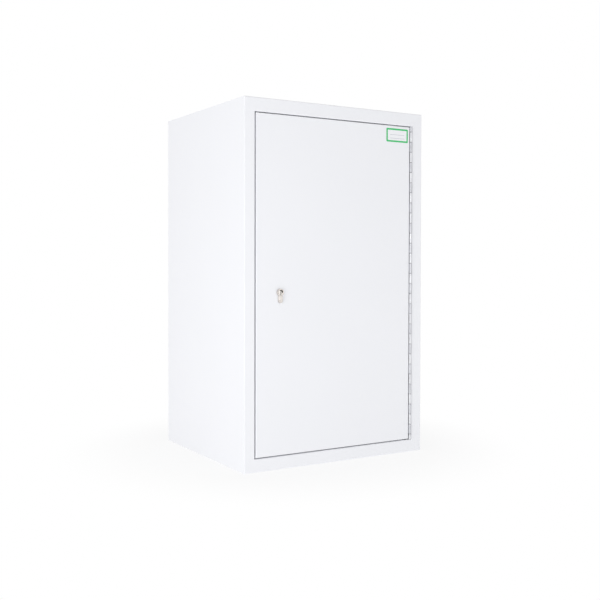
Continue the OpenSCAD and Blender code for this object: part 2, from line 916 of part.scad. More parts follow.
module lock_case() {
    floor_y = door_back_y + case_t;
    upper_slot = [upper_bar_x - bar_play, upper_bar_x + bar_w + bar_play];
    lower_slot = [lower_bar_x - bar_play, lower_bar_x + bar_w + bar_play];
    color(steel)
        difference() {
            union() {
                difference() {
                    block([case_l, door_back_y, case_b], [case_r, case_back_y, case_top]);
                    block([case_l + case_t, floor_y, case_b + case_t],
                          [case_r - case_t, case_back_y + 1, case_top - case_t]);
                }
                block([case_l, door_back_y, case_b - ear_h], [case_r, floor_y, case_top + ear_h]);
                cover_posts(case_post_r, door_back_y, case_back_y);
            }
            cylinder_hole(door_back_y - 1, floor_y + 1);
            case_mountings(case_screw_r, door_back_y - 1, floor_y + 1);
            cover_posts(cover_screw_r, case_back_y - cover_screw_len, case_back_y + 1);
            block([case_l - 1, bar_y0 - 0.3, gear_z - bolt_head_h / 2 - 0.3 - bolt_drop],
                  [case_l + case_t + 1, bolt_y1 + 0.3, gear_z + bolt_head_h / 2 + 0.3 - bolt_drop]);
            block([upper_slot[0], bar_y0 - bar_play, case_top - case_t - 1],
                  [upper_slot[1], bar_y1 + bar_play, case_top + 1]);
            block([lower_slot[0], bar_y0 - bar_play, case_b - 1],
                  [lower_slot[1], bar_y1 + bar_play, case_b + case_t + 1]);
            rod_x(cam_y, lock_z + cyl_screw_z, cyl_screw_r, case_l - 1, case_l + case_t + 1);
        }
}

module lock_cover() {
    color(steel)
        difference() {
            block([case_l, case_back_y, case_b], [case_r, cyl_rear_y, case_top]);
            cylinder_hole(case_back_y - 1, cyl_rear_y + 1);
            cover_posts(cover_screw_r, case_back_y - 1, cyl_rear_y + 1);
        }
}

module lock_cover_screws() {
    color(steel) {
        cover_posts(cover_screw_r, case_back_y - cover_screw_len, cyl_rear_y);
        cover_posts(cover_head_r, cyl_rear_y, cyl_rear_y + cover_head_t);
    }
}

module lock_case_screws() {
    ear_back = door_back_y + case_t;
    color(steel) {
        case_mountings(case_screw_r, door_back_y - case_screw_len, ear_back);
        case_mountings(case_head_r, ear_back, ear_back + case_head_t);
    }
}

module lock_gear_post() {
    floor_y = door_back_y + case_t;
    color(steel)
        translate([lock_x, 0, gear_z])
            difference() {
                union() {
                    rod_y(0, 0, post_foot_r, floor_y, bar_y0 - 0.4);
                    rod_y(0, 0, post_r, floor_y, gear_y1 + 3);
                }
                gear_groove();
            }
}

// The ring that the gear's clip fills, partly sunk in its post
module gear_groove() {
    difference() {
        rod_y(0, 0, clip_r, groove_y0, groove_y1);
        rod_y(0, 0, groove_r, groove_y0 - 1, groove_y1 + 1);
    }
}

module lock_gear_clip() {
    color(steel)
        translate([lock_x, 0, gear_z])
            difference() {
                gear_groove();
                block([-clip_mouth / 2, groove_y0 - 1, -clip_r - 1], [clip_mouth / 2, groove_y1 + 1, 0]);
            }
}

module cylinder_screw() {
    color(steel)
        at_lock() {
            rod_x(cam_y, cyl_screw_z, cyl_screw_r, case_l - lock_x, cyl_tail_r);
            rod_x(cam_y, cyl_screw_z, cyl_head_r, case_l - lock_x - cyl_head_t, case_l - lock_x);
        }
}

// ---------- Deadbolt and locking bars ----------

module deadbolt() {
    pitch_z = gear_z - pinion_r;
    body_top = pitch_z - rack_ded;
    bar_end = rack_reach + full_throw + pitch_len / 2;
    color(steel)
        union() {
            block([bolt_nose, bar_y0, gear_z - bolt_head_h / 2 - bolt_drop],
                  [bolt_head_r, bolt_y1, gear_z + bolt_head_h / 2 - bolt_drop]);
            block([bolt_head_r, bolt_y0, body_top - bolt_bar_h],
                  [lock_x + bar_end, bolt_y1, body_top]);
            along_y(bolt_y0, bolt_y1)
                translate([lock_x, pitch_z])
                    rack_teeth(-rack_reach, rack_reach + full_throw);
        }
}

// A locking bar along z from the pinion to its tip, with teeth on its inner edge.
// It is drawn on the left of the pinion, running up, and is turned half round for the other bar.
module locking_bar(tip) {
    tail = -rack_reach - full_throw - pitch_len / 2;
    block([-pinion_r - rack_ded - bar_w, bar_y0, tail], [-pinion_r - rack_ded, bar_y1, tip]);
    along_y(bar_y0, bar_y1)
        translate([-pinion_r, 0]) rotate(-90) rack_teeth(-rack_reach, rack_reach + full_throw);
}

module upper_locking_bar() {
    tip = opening_t - stop_lip - bar_clear - gear_z;
    color(steel)
        translate([lock_x, 0, gear_z])
            locking_bar(tip);
}

module lower_locking_bar() {
    tip = gear_z - opening_b - stop_lip - bar_clear;
    color(steel)
        translate([lock_x, 0, gear_z])
            rotate([0, 180, 0])
                locking_bar(tip);
}

// Something once for each guide, at the middle of its bar
module each_guide() {
    for (z = upper_guides)
        translate([upper_bar_x + bar_w / 2, 0, z]) children();
    for (z = lower_guides)
        translate([lower_bar_x + bar_w / 2, 0, z]) children();
}

// The two screws of every guide
module guide_mountings(r, y0, y1) {
    each_guide()
        for (x = [-guide_screw_x, guide_screw_x])
            rod_y(x, 0, r, y0, y1);
}

module rod_guides() {
    top_y = bar_y1 + guide_over;
    color(nylon)
        difference() {
            each_guide()
                block([-guide_w / 2, door_back_y, -guide_h / 2], [guide_w / 2, top_y, guide_h / 2]);
            each_guide()
                block([-bar_w / 2 - bar_play, bar_y0 - bar_play, -guide_h],
                      [bar_w / 2 + bar_play, bar_y1 + bar_play, guide_h]);
            guide_mountings(guide_screw_r, door_back_y - 1, top_y + 1);
        }
}

module rod_guide_screws() {
    top_y = bar_y1 + guide_over;
    color(steel) {
        guide_mountings(guide_screw_r, door_back_y - guide_screw_len, top_y);
        guide_mountings(guide_head_r, top_y, top_y + guide_head_t);
    }
}

// ---------- Nodes ----------

left_side_panel();
right_side_panel();
top_panel();
base_panel();
back_panel();
wall_fixing_plates();
shelf_upright_front_left();
shelf_upright_front_right();
shelf_upright_rear_left();
shelf_upright_rear_right();
shelf_clips();
frame_hinge_leaf();
hinge_pin();
frame_hinge_rivets();
door_buffers();
lower_shelf();
middle_shelf();
upper_shelf();
door_skin();
door_liner();
door_stiffener();
door_hinge_leaf();
door_hinge_rivets();
label();
lock_case();
lock_cover();
lock_cover_screws();
lock_case_screws();
lock_gear_post();
lock_gear_clip();
cylinder_body();
cylinder_screw();
driver_pins();
pin_springs();
chamber_plugs();
rod_guides();
rod_guide_screws();
cylinder_plug();
key_pins();
cam_gear();
drive_gear();
bolt_pinion();
deadbolt();
upper_locking_bar();
lower_locking_bar();
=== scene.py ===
# %% [markdown]
# # A lockable medicine cabinet
# A cabinet like this hangs in a clinic or a first-aid room. It is folded from thin sheet steel,
# sprayed with white powder and baked, so its shape is simple and its looks are in small things:
# soft folds, a shadow gap round the door, a long hinge and a key lock.
# The construction model is already packed. This lesson loads it as a fixed frame, dresses it with
# materials, and swaps plain parts for finer ones that sit in the same places.

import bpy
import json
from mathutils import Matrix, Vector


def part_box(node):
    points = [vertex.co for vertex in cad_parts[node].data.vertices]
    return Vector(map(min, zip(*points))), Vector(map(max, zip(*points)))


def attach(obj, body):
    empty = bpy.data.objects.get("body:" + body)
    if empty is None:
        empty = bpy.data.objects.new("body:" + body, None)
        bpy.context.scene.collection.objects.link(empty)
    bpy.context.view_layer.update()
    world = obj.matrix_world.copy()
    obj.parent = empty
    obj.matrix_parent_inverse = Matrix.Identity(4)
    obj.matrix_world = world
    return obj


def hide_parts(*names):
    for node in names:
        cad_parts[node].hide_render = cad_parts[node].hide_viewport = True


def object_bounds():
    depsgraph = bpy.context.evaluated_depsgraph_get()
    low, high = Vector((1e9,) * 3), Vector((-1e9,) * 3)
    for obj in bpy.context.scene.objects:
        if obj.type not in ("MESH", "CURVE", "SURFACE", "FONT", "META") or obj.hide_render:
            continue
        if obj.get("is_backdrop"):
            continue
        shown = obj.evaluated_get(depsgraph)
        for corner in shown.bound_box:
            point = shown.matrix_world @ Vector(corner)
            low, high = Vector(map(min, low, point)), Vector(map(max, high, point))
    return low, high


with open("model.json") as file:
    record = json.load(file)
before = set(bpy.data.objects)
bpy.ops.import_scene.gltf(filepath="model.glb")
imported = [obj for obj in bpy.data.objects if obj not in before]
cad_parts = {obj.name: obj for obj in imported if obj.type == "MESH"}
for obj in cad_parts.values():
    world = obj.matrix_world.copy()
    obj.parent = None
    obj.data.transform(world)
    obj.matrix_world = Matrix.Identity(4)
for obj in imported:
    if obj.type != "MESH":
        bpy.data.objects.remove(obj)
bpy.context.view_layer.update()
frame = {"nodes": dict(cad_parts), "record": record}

# %% Modules and units
import json
import math
from functools import partial

import bmesh
import bpy
from mathutils import Matrix, Vector

MM = 0.001
scene = bpy.context.scene
print("nodes to dress:", len(frame["nodes"]))

# %% [markdown]
# ## The camera
# A cabinet's picture is taken from a little to the left and at about half its height, so that the
# door and one side both show and upright edges stay upright. A camera is three directions and a
# place. Writing the directions down is exact, where turning it by hand is not. The small shift does
# what a shift lens does, and keeps the object where the frame wants it.

# %% Camera
RIGHT = Vector((0.85033, -0.52624, 0.00241))
DOWN = Vector((-0.00796, -0.01743, -0.99982))
FORWARD = Vector((0.52618, 0.85016, -0.01901))
PLACE = Vector((-1.1597, -2.0246, 0.4857))
FRAME_PIXELS = 600
FOCAL_PIXELS = 896.4
CENTRE_PIXELS = (321.8, 275.9)

lens = bpy.data.cameras.new("camera")
lens.sensor_width = 36
lens.lens = FOCAL_PIXELS * lens.sensor_width / FRAME_PIXELS
lens.shift_x = (FRAME_PIXELS / 2 - CENTRE_PIXELS[0]) / FRAME_PIXELS
lens.shift_y = (CENTRE_PIXELS[1] - FRAME_PIXELS / 2) / FRAME_PIXELS
camera = bpy.data.objects.new("camera", lens)
facing = Matrix((RIGHT, -DOWN, -FORWARD)).transposed()
camera.matrix_world = Matrix.Translation(PLACE) @ facing.to_4x4()
scene.collection.objects.link(camera)
scene.camera = camera
print("lens", round(lens.lens, 2), "mm, shift", round(lens.shift_x, 4), round(lens.shift_y, 4))

# %% [markdown]
# ## Colours
# A colour is easiest to name in screen values from 0 to 255, but Blender's shaders work in linear
# light. One small function turns the first into the second.

# %% Screen colours to linear light
def screen(red, green, blue):
    """A linear RGBA colour from screen values."""
    def linear(value):
        value /= 255
        return value / 12.92 if value <= 0.04045 else ((value + 0.055) / 1.055) ** 2.4
    return (linear(red), linear(green), linear(blue), 1.0)


print("mid grey is", round(screen(128, 128, 128)[0], 3), "in linear light")

# %% [markdown]
# ## Shader groups
# Powder coat, bare metal and moulded nylon all vary in the same three ways: a little in colour, a
# little in gloss and a little in height. An effect that several finishes share is worth one group
# with named inputs. Everything reads Object coordinates in metres, and every piece keeps its object
# at the origin, so one pattern runs on across pieces that touch. Wiring nodes by hand takes many
# lines, so a few helpers let a node be made and fed in one.

# %% Helpers for node trees
def feed(tree, socket, value):
    """Joins an input to another node's output, or sets it to a plain value."""
    if isinstance(value, bpy.types.NodeSocket):
        tree.links.new(value, socket)
    else:
        socket.default_value = value


def give(tree, node, **inputs):
    """Feeds a node's inputs by name."""
    for name, value in inputs.items():
        feed(tree, node.inputs[name.replace("_", " ")], value)


def add(tree, kind, *in_order, **settings):
    """A node of that kind, with its attributes set and its inputs fed, in order or by name."""
    node = tree.nodes.new(kind)
    for name in list(settings):
        if hasattr(node, name):
            setattr(node, name, settings.pop(name))
    give(tree, node, **settings)
    for socket, value in zip(node.inputs, in_order):
        feed(tree, socket, value)
    return node


def maths(tree, operation, *values):
    """The result of one Math node."""
    return add(tree, "ShaderNodeMath", *values, operation=operation).outputs[0]


def eased(tree, value, **ends):
    """A value carried smoothly from one range to another."""
    return add(tree, "ShaderNodeMapRange", interpolation_type="SMOOTHSTEP", Value=value,
               **ends).outputs[0]


def position(tree):
    """Where a point lies in the shared frame, in metres."""
    return add(tree, "ShaderNodeTexCoord").outputs["Object"]


def noise(tree, where, per_metre, detail):
    """Noise from 0 to 1 with so many blotches to the metre, and finer ones within them."""
    return add(tree, "ShaderNodeTexNoise", Vector=where, Scale=per_metre,
               Detail=detail).outputs["Fac"]


COLOUR_A, COLOUR_B, COLOUR_RESULT = 6, 7, 2


def blended(tree, factor, first, second):
    """One colour that passes into another as the factor goes from 0 to 1."""
    blend = add(tree, "ShaderNodeMix", data_type="RGBA", Factor=factor)
    feed(tree, blend.inputs[COLOUR_A], first)
    feed(tree, blend.inputs[COLOUR_B], second)
    return blend.outputs[COLOUR_RESULT]


def new_group(name, inputs, outputs, kind="ShaderNodeTree"):
    """A node group with named sockets: the tree, what it is given and its output node."""
    tree = bpy.data.node_groups.new(name, kind)
    for label, socket, value in inputs:
        made = tree.interface.new_socket(label, in_out="INPUT", socket_type=socket)
        if value is not None:
            made.default_value = value
    for label, socket in outputs:
        tree.interface.new_socket(label, in_out="OUTPUT", socket_type=socket)
    return tree, tree.nodes.new("NodeGroupInput").outputs, tree.nodes.new("NodeGroupOutput")


# %% The coating group: cloudy colour, uneven gloss and orange peel
COLOR, FLOAT, VECTOR = "NodeSocketColor", "NodeSocketFloat", "NodeSocketVector"
SURFACE = [("Colour", COLOR), ("Roughness", FLOAT), ("Normal", VECTOR)]
CLOUDS, TOUCHES = 5.0, 22.0

coating, given, out = new_group(
    "coating",
    [("Colour", COLOR, screen(242, 243, 247)), ("Second colour", COLOR, screen(238, 239, 244)),
     ("Roughness", FLOAT, 0.4), ("Roughness spread", FLOAT, 0.06),
     ("Peel size", FLOAT, 1.2 * MM), ("Peel height", FLOAT, 0.02 * MM)],
    SURFACE,
)
where = position(coating)
cloud = noise(coating, where, CLOUDS, 3.0)
uneven = maths(coating, "SUBTRACT", noise(coating, where, TOUCHES, 5.0), 0.5)
peel = noise(coating, where, maths(coating, "DIVIDE", 1.0, given["Peel size"]), 1.0)
bump = add(coating, "ShaderNodeBump", Strength=1.0, Height=peel, Distance=given["Peel height"])
give(coating, out,
     Colour=blended(coating, cloud, given["Colour"], given["Second colour"]),
     Roughness=maths(coating, "MULTIPLY_ADD", uneven, given["Roughness spread"],
                     given["Roughness"]),
     Normal=bump.outputs["Normal"])
print("group", coating.name, "with", len(coating.nodes), "nodes")

# %% The grain group: fine lines that rolling, turning or brushing leaves in metal
STAINED, CLEAN = 0.12, 0.40
STAINS = 60.0

grain, given, out = new_group(
    "grain",
    [("Colour", COLOR, screen(200, 202, 206)), ("Second colour", COLOR, screen(170, 172, 177)),
     ("Roughness", FLOAT, 0.3), ("Roughness spread", FLOAT, 0.12),
     ("Stretch", VECTOR, (2000.0, 2000.0, 40.0)), ("Depth", FLOAT, 0.01 * MM)],
    SURFACE,
)
where = position(grain)
drawn = add(grain, "ShaderNodeVectorMath", where, given["Stretch"], operation="MULTIPLY").outputs[0]
lines = noise(grain, drawn, 1.0, 4.0)
stain = noise(grain, where, STAINS, 4.0)
wide = add(grain, "ShaderNodeMapRange", Value=maths(grain, "MULTIPLY", lines, stain),
           From_Min=STAINED, From_Max=CLEAN).outputs[0]
bump = add(grain, "ShaderNodeBump", Strength=1.0, Height=lines, Distance=given["Depth"])
give(grain, out,
     Colour=blended(grain, wide, given["Second colour"], given["Colour"]),
     Roughness=maths(grain, "MULTIPLY_ADD", stain, given["Roughness spread"], given["Roughness"]),
     Normal=bump.outputs["Normal"])
print("group", grain.name, "with", len(grain.nodes), "nodes")

# %% [markdown]
# ## Finishes
# Each finish is a Principled shader fed by one of the two groups. Paint, rubber and nylon are not
# metals, so their colour comes from below the surface. Zinc, steel, nickel and brass are metals,
# and their colour is the colour of their reflections. The hinge is bare rolled steel with a dull
# skin, so it counts only partly as a metal.

# %% Materials from the groups
FINISHES = {}


def finish(name, group, colour, second, metallic=0.0, **values):
    """A Principled material whose colour, roughness and normal come from a group."""
    material = bpy.data.materials.new(name)
    material.use_nodes = True
    material.diffuse_color = screen(*colour)
    tree = material.node_tree
    surface = add(tree, "ShaderNodeGroup", node_tree=group, Colour=screen(*colour),
                  Second_colour=screen(*second), **values).outputs
    give(tree, tree.nodes["Principled BSDF"], Metallic=metallic, Base_Color=surface["Colour"],
         Roughness=surface["Roughness"], Normal=surface["Normal"])
    FINISHES[name] = material
    return material


FLECKED, SPARKLING = (400.0, 400.0, 400.0), (900.0, 900.0, 900.0)
DRAWN_BACKWARDS, DRAWN_UPWARDS = (3000.0, 60.0, 3000.0), (1800.0, 1800.0, 60.0)
DULL_SKIN = 0.6

for name in ("cabinet_paint", "door_paint"):
    finish(name, coating, (243, 244, 248), (241, 242, 246))
finish("shelf_paint", coating, (240, 241, 244), (237, 238, 242))
finish("rubber", coating, (44, 44, 46), (36, 36, 38), Roughness=0.75)
finish("nylon", coating, (226, 225, 218), (219, 218, 210), Roughness=0.5, Peel_height=0.01 * MM)
hinge_steel = finish("hinge_steel", grain, (230, 231, 234), (210, 211, 215), DULL_SKIN,
                     Roughness=0.36)
# Painted shade: a darker copy of the hinge steel for the door leaf's links, so alternate links look
# darker.
dull_hinge_steel = finish("dull_hinge_steel", grain, (214, 215, 219), (195, 196, 201), DULL_SKIN,
                          Roughness=0.4)
for name, colour, second, roughness, stretch in (
    ("zinc_plate", (204, 208, 213), (180, 185, 192), 0.34, FLECKED),
    ("screw_steel", (206, 208, 212), (170, 173, 178), 0.26, SPARKLING),
    ("nickel_plate", (232, 226, 221), (212, 206, 201), 0.2, DRAWN_BACKWARDS),
    ("brass", (222, 190, 120), (196, 160, 92), 0.24, DRAWN_BACKWARDS),
    ("machined_steel", (198, 200, 204), (166, 168, 173), 0.3, DRAWN_UPWARDS),
):
    finish(name, grain, colour, second, 1.0, Roughness=roughness, Stretch=stretch)
print("finishes:", len(FINISHES))

# %% [markdown]
# ## Carrying over the construction model
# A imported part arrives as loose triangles. To get soft edges, a copy is welded, its flat triangles
# are dissolved into whole faces, and a Bevel modifier rounds the edges that are sharp. Real sheet
# metal and castings have no perfectly sharp edge, and the thin highlight along each one is what
# makes a part look made rather than drawn.

# %% Helpers for meshes
BODIES = frame["record"]["behaviour"]["bodies"]
BODY_OF = {node: body for body, members in BODIES.items() for node in members}
SLOT_OF = {part["node"]: part["material_slot"] for part in frame["record"]["subparts"]}
SMOOTH = math.radians(32)
FLAT = math.radians(0.4)
SAME_PLACE = 0.001 * MM


def poured(work, mesh):
    """Writes a working mesh into a mesh."""
    work.to_mesh(mesh)
    work.free()
    return mesh


def plain_mesh(name, verts, faces, edges=()):
    """A mesh from lists of points, faces and edges."""
    mesh = bpy.data.meshes.new(name)
    mesh.from_pydata(verts, edges, faces)
    return mesh


def welded(node):
    """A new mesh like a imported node's, its triangles joined into whole faces."""
    work = bmesh.new()
    work.from_mesh(frame["nodes"][node].data)
    bmesh.ops.remove_doubles(work, verts=work.verts, dist=SAME_PLACE)
    bmesh.ops.dissolve_limit(work, angle_limit=FLAT, verts=work.verts, edges=work.edges)
    work.verts.index_update()
    mesh = plain_mesh(node, [vert.co[:] for vert in work.verts],
                      [[vert.index for vert in face.verts] for face in work.faces])
    work.free()
    return mesh


def place(name, data):
    """A new object at the origin that holds a mesh or a curve."""
    piece = bpy.data.objects.new(name, data)
    scene.collection.objects.link(piece)
    return piece


def dress(piece, node):
    """Gives a finished piece the material of the node's slot and the node's body, in place of the
    node.
    """
    if not piece.data.materials:
        piece.data.materials.append(FINISHES[SLOT_OF[node]])
    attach(piece, BODY_OF[node])
    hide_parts(node)
    return piece


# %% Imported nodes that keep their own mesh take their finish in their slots
ready = [node for node, slot in SLOT_OF.items() if slot in FINISHES]
for node in ready:
    mesh = frame["nodes"][node].data
    mesh.materials.clear()
    mesh.materials.append(FINISHES[SLOT_OF[node]])
print("dressed in place:", len(ready), "of", len(SLOT_OF))

# %% [markdown]
# ## Light, floor and background
# White paint is hard to light: too much light and every edge is lost. The room here is an even
# white, a little dimmer overhead and to the right. Two broad soft lamps, one low at the left and a
# weak one in front, stand close enough to fade a little across each face, which shows that the
# faces turn. Cameras see the room as plain white by way of the Light Path node, while the paint is
# lit by a dimmer room, so that a colour renders about as it is written.

# %% A white room
ROOM_LIGHT = 0.775
ZENITH = 0.7
RIGHT_SIDE = 0.75
RIGHT_MIRRORED = 0.7
WHITE = (1.0, 1.0, 1.0, 1.0)

scene.world = bpy.data.worlds.new("room")
scene.world.use_nodes = True
room = scene.world.node_tree
room.nodes.clear()
towards = add(room, "ShaderNodeTexCoord").outputs["Generated"]
axes = add(room, "ShaderNodeSeparateXYZ", towards).outputs


def dimmer(axis, start, end):
    """A factor that falls from 1 at a start to an end value straight along an axis."""
    return eased(room, axes[axis], From_Min=start, To_Min=1.0, To_Max=end)


even = maths(room, "MULTIPLY", dimmer("Z", 0.0, ZENITH), dimmer("X", -0.2, RIGHT_SIDE))
lit, mirrored, seen = (
    add(room, "ShaderNodeBackground", Color=WHITE, Strength=strength).outputs[0]
    for strength in (maths(room, "MULTIPLY", even, ROOM_LIGHT),
                     dimmer("X", -0.1, RIGHT_MIRRORED), 1.0)
)
rays = add(room, "ShaderNodeLightPath").outputs
bounced = add(room, "ShaderNodeMixShader", rays["Is Glossy Ray"], lit, mirrored).outputs[0]
straight = maths(room, "MAXIMUM", rays["Is Camera Ray"], rays["Is Transmission Ray"])
shown = add(room, "ShaderNodeMixShader", straight, bounced, seen).outputs[0]
add(room, "ShaderNodeOutputWorld", shown)
print("room light", ROOM_LIGHT)

# %% Two broad soft lamps
def lamp(name, spot, aim, size, power):
    """A square soft lamp at a spot, turned towards what it is aimed at."""
    light = bpy.data.lights.new(name, "AREA")
    light.shape = "SQUARE"
    light.size = size
    light.energy = power
    holder = bpy.data.objects.new(name, light)
    holder.location = spot
    holder.rotation_euler = (Vector(aim) - Vector(spot)).to_track_quat("-Z", "Y").to_euler()
    scene.collection.objects.link(holder)
    print(name, "at", spot, "gives", power, "W")


lamp("key_lamp", (-1.8, -1.05, 0.28), (-0.25, -0.1, 0.34), size=0.8, power=10.5)
lamp("front_lamp", (0.1, -2.1, 0.5), (0.08, -0.22, 0.2), size=1.2, power=3.6)

# %% The floor: pale, with the cabinet's soft shadow, fading into the white room
FLOOR_RADIUS = 6.0
SHADOW_FULL, SHADOW_ENDS = 0.25, 0.62
OWN_GLOW = 0.82

disc = bmesh.new()
bmesh.ops.create_circle(disc, cap_ends=True, radius=FLOOR_RADIUS, segments=96)
floor = place("floor", poured(disc, bpy.data.meshes.new("floor")))
floor_finish = bpy.data.materials.new("floor")
floor_finish.use_nodes = True
tree = floor_finish.node_tree
board = tree.nodes["Principled BSDF"]
give(tree, board, Base_Color=screen(250, 250, 251), Roughness=0.9)
far = add(tree, "ShaderNodeVectorMath", position(tree), operation="LENGTH").outputs["Value"]
fade = eased(tree, far, From_Min=SHADOW_FULL, From_Max=SHADOW_ENDS, To_Min=OWN_GLOW)
glow = add(tree, "ShaderNodeEmission", Strength=1.0).outputs[0]
surface = add(tree, "ShaderNodeMixShader", fade, board.outputs[0], glow).outputs[0]
give(tree, tree.nodes["Material Output"], Surface=surface)
floor.data.materials.append(floor_finish)
floor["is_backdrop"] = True
scene.view_settings.view_transform = "Standard"
print("floor radius", FLOOR_RADIUS, "m")

# %% [markdown]
# ## Folded sheet: walls, door and shelves
# The walls, the door and the shelves are sheet steel folded in a press brake. A fold is a small
# arc, and the flat faces on both sides of it must stay perfectly flat in the light. Smooth shading
# alone would bend the light across the whole face, so a Weighted Normal modifier lets the large
# face decide. The walls are mitred and welded at the corners and the welds are ground away, so
# their cut edges stay unbevelled and no seam shows.

# %% Helpers that round edges, work modifiers in and steady the shading
def evaluated(piece):
    """The piece's mesh with its modifiers worked in."""
    bpy.context.view_layer.update()
    depsgraph = bpy.context.evaluated_depsgraph_get()
    return bpy.data.meshes.new_from_object(piece.evaluated_get(depsgraph), depsgraph=depsgraph)


def baked(piece):
    """Works the modifiers into a plain mesh, smooth over folds and flat on faces."""
    mesh = evaluated(piece)
    piece.modifiers.clear()
    piece.data = mesh
    mesh.shade_smooth()
    mesh.set_sharp_from_angle(angle=SMOOTH)
    steady = piece.modifiers.new("steady", "WEIGHTED_NORMAL")
    steady.keep_sharp = True
    piece.data = evaluated(piece)
    piece.modifiers.clear()
    return piece


def bevelled(piece, width, segments=2):
    """Gives a piece a Bevel modifier for its sharp edges, and returns the modifier."""
    bevel = piece.modifiers.new("edges", "BEVEL")
    bevel.width = width
    bevel.segments = segments
    bevel.limit_method = "ANGLE"
    bevel.angle_limit = SMOOTH
    return bevel


def softened(name, node, width=0.0, segments=2, front=None):
    """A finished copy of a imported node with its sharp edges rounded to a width.

    With a front given, only edges that lie wholly ahead of that y are rounded.
    """
    mesh = welded(node)
    piece = place(name, mesh)
    if width:
        bevel = bevelled(piece, width, segments)
        bevel.use_clamp_overlap = False
    if front is not None:
        bevel.limit_method = "WEIGHT"
        chosen = mesh.attributes.new("bevel_weight_edge", "FLOAT", "EDGE")
        for edge in mesh.edges:
            rearmost = max(mesh.vertices[index].co.y for index in edge.vertices)
            chosen.data[edge.index].value = float(rearmost < front)
    return dress(baked(piece), node)


# %% Case walls and door
for name, node in (
    ("left_wall", "left_side_panel"), ("right_wall", "right_side_panel"), ("roof", "top_panel"),
    ("floor_of_case", "base_panel"), ("door_face", "door_skin"),
):
    softened(name, node)

# %% Back, inner door sheet and shelves: their edges are cut, and take a small round
CUT_EDGE, LINER_EDGE = 0.25 * MM, 0.1 * MM
for name, node, width in (
    ("back_sheet", "back_panel", CUT_EDGE), ("inner_door_sheet", "door_liner", LINER_EDGE),
    ("bottom_tray", "lower_shelf", CUT_EDGE), ("middle_tray", "middle_shelf", CUT_EDGE),
    ("top_tray", "upper_shelf", CUT_EDGE), ("channel_in_door", "door_stiffener", CUT_EDGE),
):
    softened(name, node, width)

# %% [markdown]
# ## The long hinge
# A piano hinge is two strips of steel with tongues along one edge. The tongues of one strip are
# rolled round a pin between the tongues of the other. One link is a line, seen from above, that
# leaves the leaf, steps in and runs round the pin, and that line swept with a thin upright
# rectangle is the rolled sheet. All the links are the same, so Geometry Nodes sweep one and set it
# out up the pin; only the link at one end is cut short.

# %% Sizes of the hinge, read from the frame
leaf_low, leaf_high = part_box("frame_hinge_leaf")
pin_low, pin_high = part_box("hinge_pin")
PIN_X = (pin_low.x + pin_high.x) / 2
PIN_Y = (pin_low.y + pin_high.y) / 2
HINGE_LOW, HINGE_HIGH = leaf_low.z, leaf_high.z
LEAF_THICK = 1.8 * MM
LEAF_MIDDLE = leaf_high.x - PIN_X - LEAF_THICK / 2
ROLL = 2.37 * MM
ROLLED_THICK = 1.76 * MM
PITCH = 25.3 * MM
LINK_GAP = 0.8 * MM
LINKS = 32
END_LINK = (HINGE_HIGH - HINGE_LOW - (LINKS - 2) * PITCH) / 2
print("pin at", round(PIN_X, 4), round(PIN_Y, 4), "end link", round(END_LINK / MM, 2), "mm")

# %% [markdown]
# Each joint between links gets a dark ring: oil and dust that gather there, and painted shade for
# the gap.
# A mask from the height finds the joints, because they are evenly spaced up the pin.

# %% Dark rings at the joints between links: grime and painted shade
FIRST_JOINT = HINGE_LOW + END_LINK
RING_HALF = 0.75 * MM
RING_STRENGTH = 0.8
# Grime and painted shade: the colour that darkens the hinge steel at each joint between links.
GRIME_AND_SHADE = screen(70, 70, 72)

joints, given, out = new_group("link_joints", [("Colour", COLOR, None)], [("Colour", COLOR)])
axes = add(joints, "ShaderNodeSeparateXYZ", position(joints)).outputs
away = maths(joints, "PINGPONG", maths(joints, "SUBTRACT", axes["Z"], FIRST_JOINT), PITCH / 2)
dark = eased(joints, away, From_Min=RING_HALF / 2, From_Max=RING_HALF, To_Min=RING_STRENGTH,
             To_Max=0.0)
rolled_part = maths(joints, "LESS_THAN", axes["Y"], PIN_Y + 2 * ROLL)
ringed = maths(joints, "MULTIPLY", dark, rolled_part)
give(joints, out, Colour=blended(joints, ringed, given["Colour"], GRIME_AND_SHADE))
for steel in (hinge_steel, dull_hinge_steel):
    tree = steel.node_tree
    base = tree.nodes["Principled BSDF"].inputs["Base Color"]
    rings = add(tree, "ShaderNodeGroup", node_tree=joints, Colour=base.links[0].from_socket)
    feed(tree, base, rings.outputs["Colour"])
print("joints every", PITCH / MM, "mm from", round(FIRST_JOINT / MM, 2))

# %% The line of one rolled tongue
STEP_STARTS, STEP_ENDS, STEP_POINTS = 5.6 * MM, 0.4 * MM, 6
ROLLED_ROUND, ROLL_POINTS = math.radians(296), 25


def tongue_line(side):
    """Points from the leaf round the pin; side is 1 for the frame's leaf and -1 for the door's."""
    points = []
    for i in range(STEP_POINTS):
        t = i / STEP_POINTS
        ease = t * t * (3 - 2 * t)
        points.append((LEAF_MIDDLE + (ROLL - LEAF_MIDDLE) * ease,
                       STEP_STARTS + (STEP_ENDS - STEP_STARTS) * t))
    for i in range(ROLL_POINTS):
        turn = -ROLLED_ROUND * i / (ROLL_POINTS - 1)
        points.append((ROLL * math.cos(turn), ROLL * math.sin(turn)))
    return plain_mesh("tongue_line", [(PIN_X + side * x, PIN_Y + y, 0) for x, y in points], [],
                      [(i, i + 1) for i in range(len(points) - 1)])


# %% Helpers for Geometry Nodes trees
GEOMETRY, OBJECT = "NodeSocketGeometry", "NodeSocketObject"
WHOLE, MATERIAL = "NodeSocketInt", "NodeSocketMaterial"


def new_tree(name, inputs):
    """A Geometry Nodes tree that takes a mesh and named inputs and gives back a mesh."""
    return new_group(name, [("Geometry", GEOMETRY, None), *inputs], [("Geometry", GEOMETRY)],
                     "GeometryNodeTree")


def lifted(tree, height):
    """A vector that points up by a height."""
    return add(tree, "ShaderNodeCombineXYZ", Z=height).outputs[0]


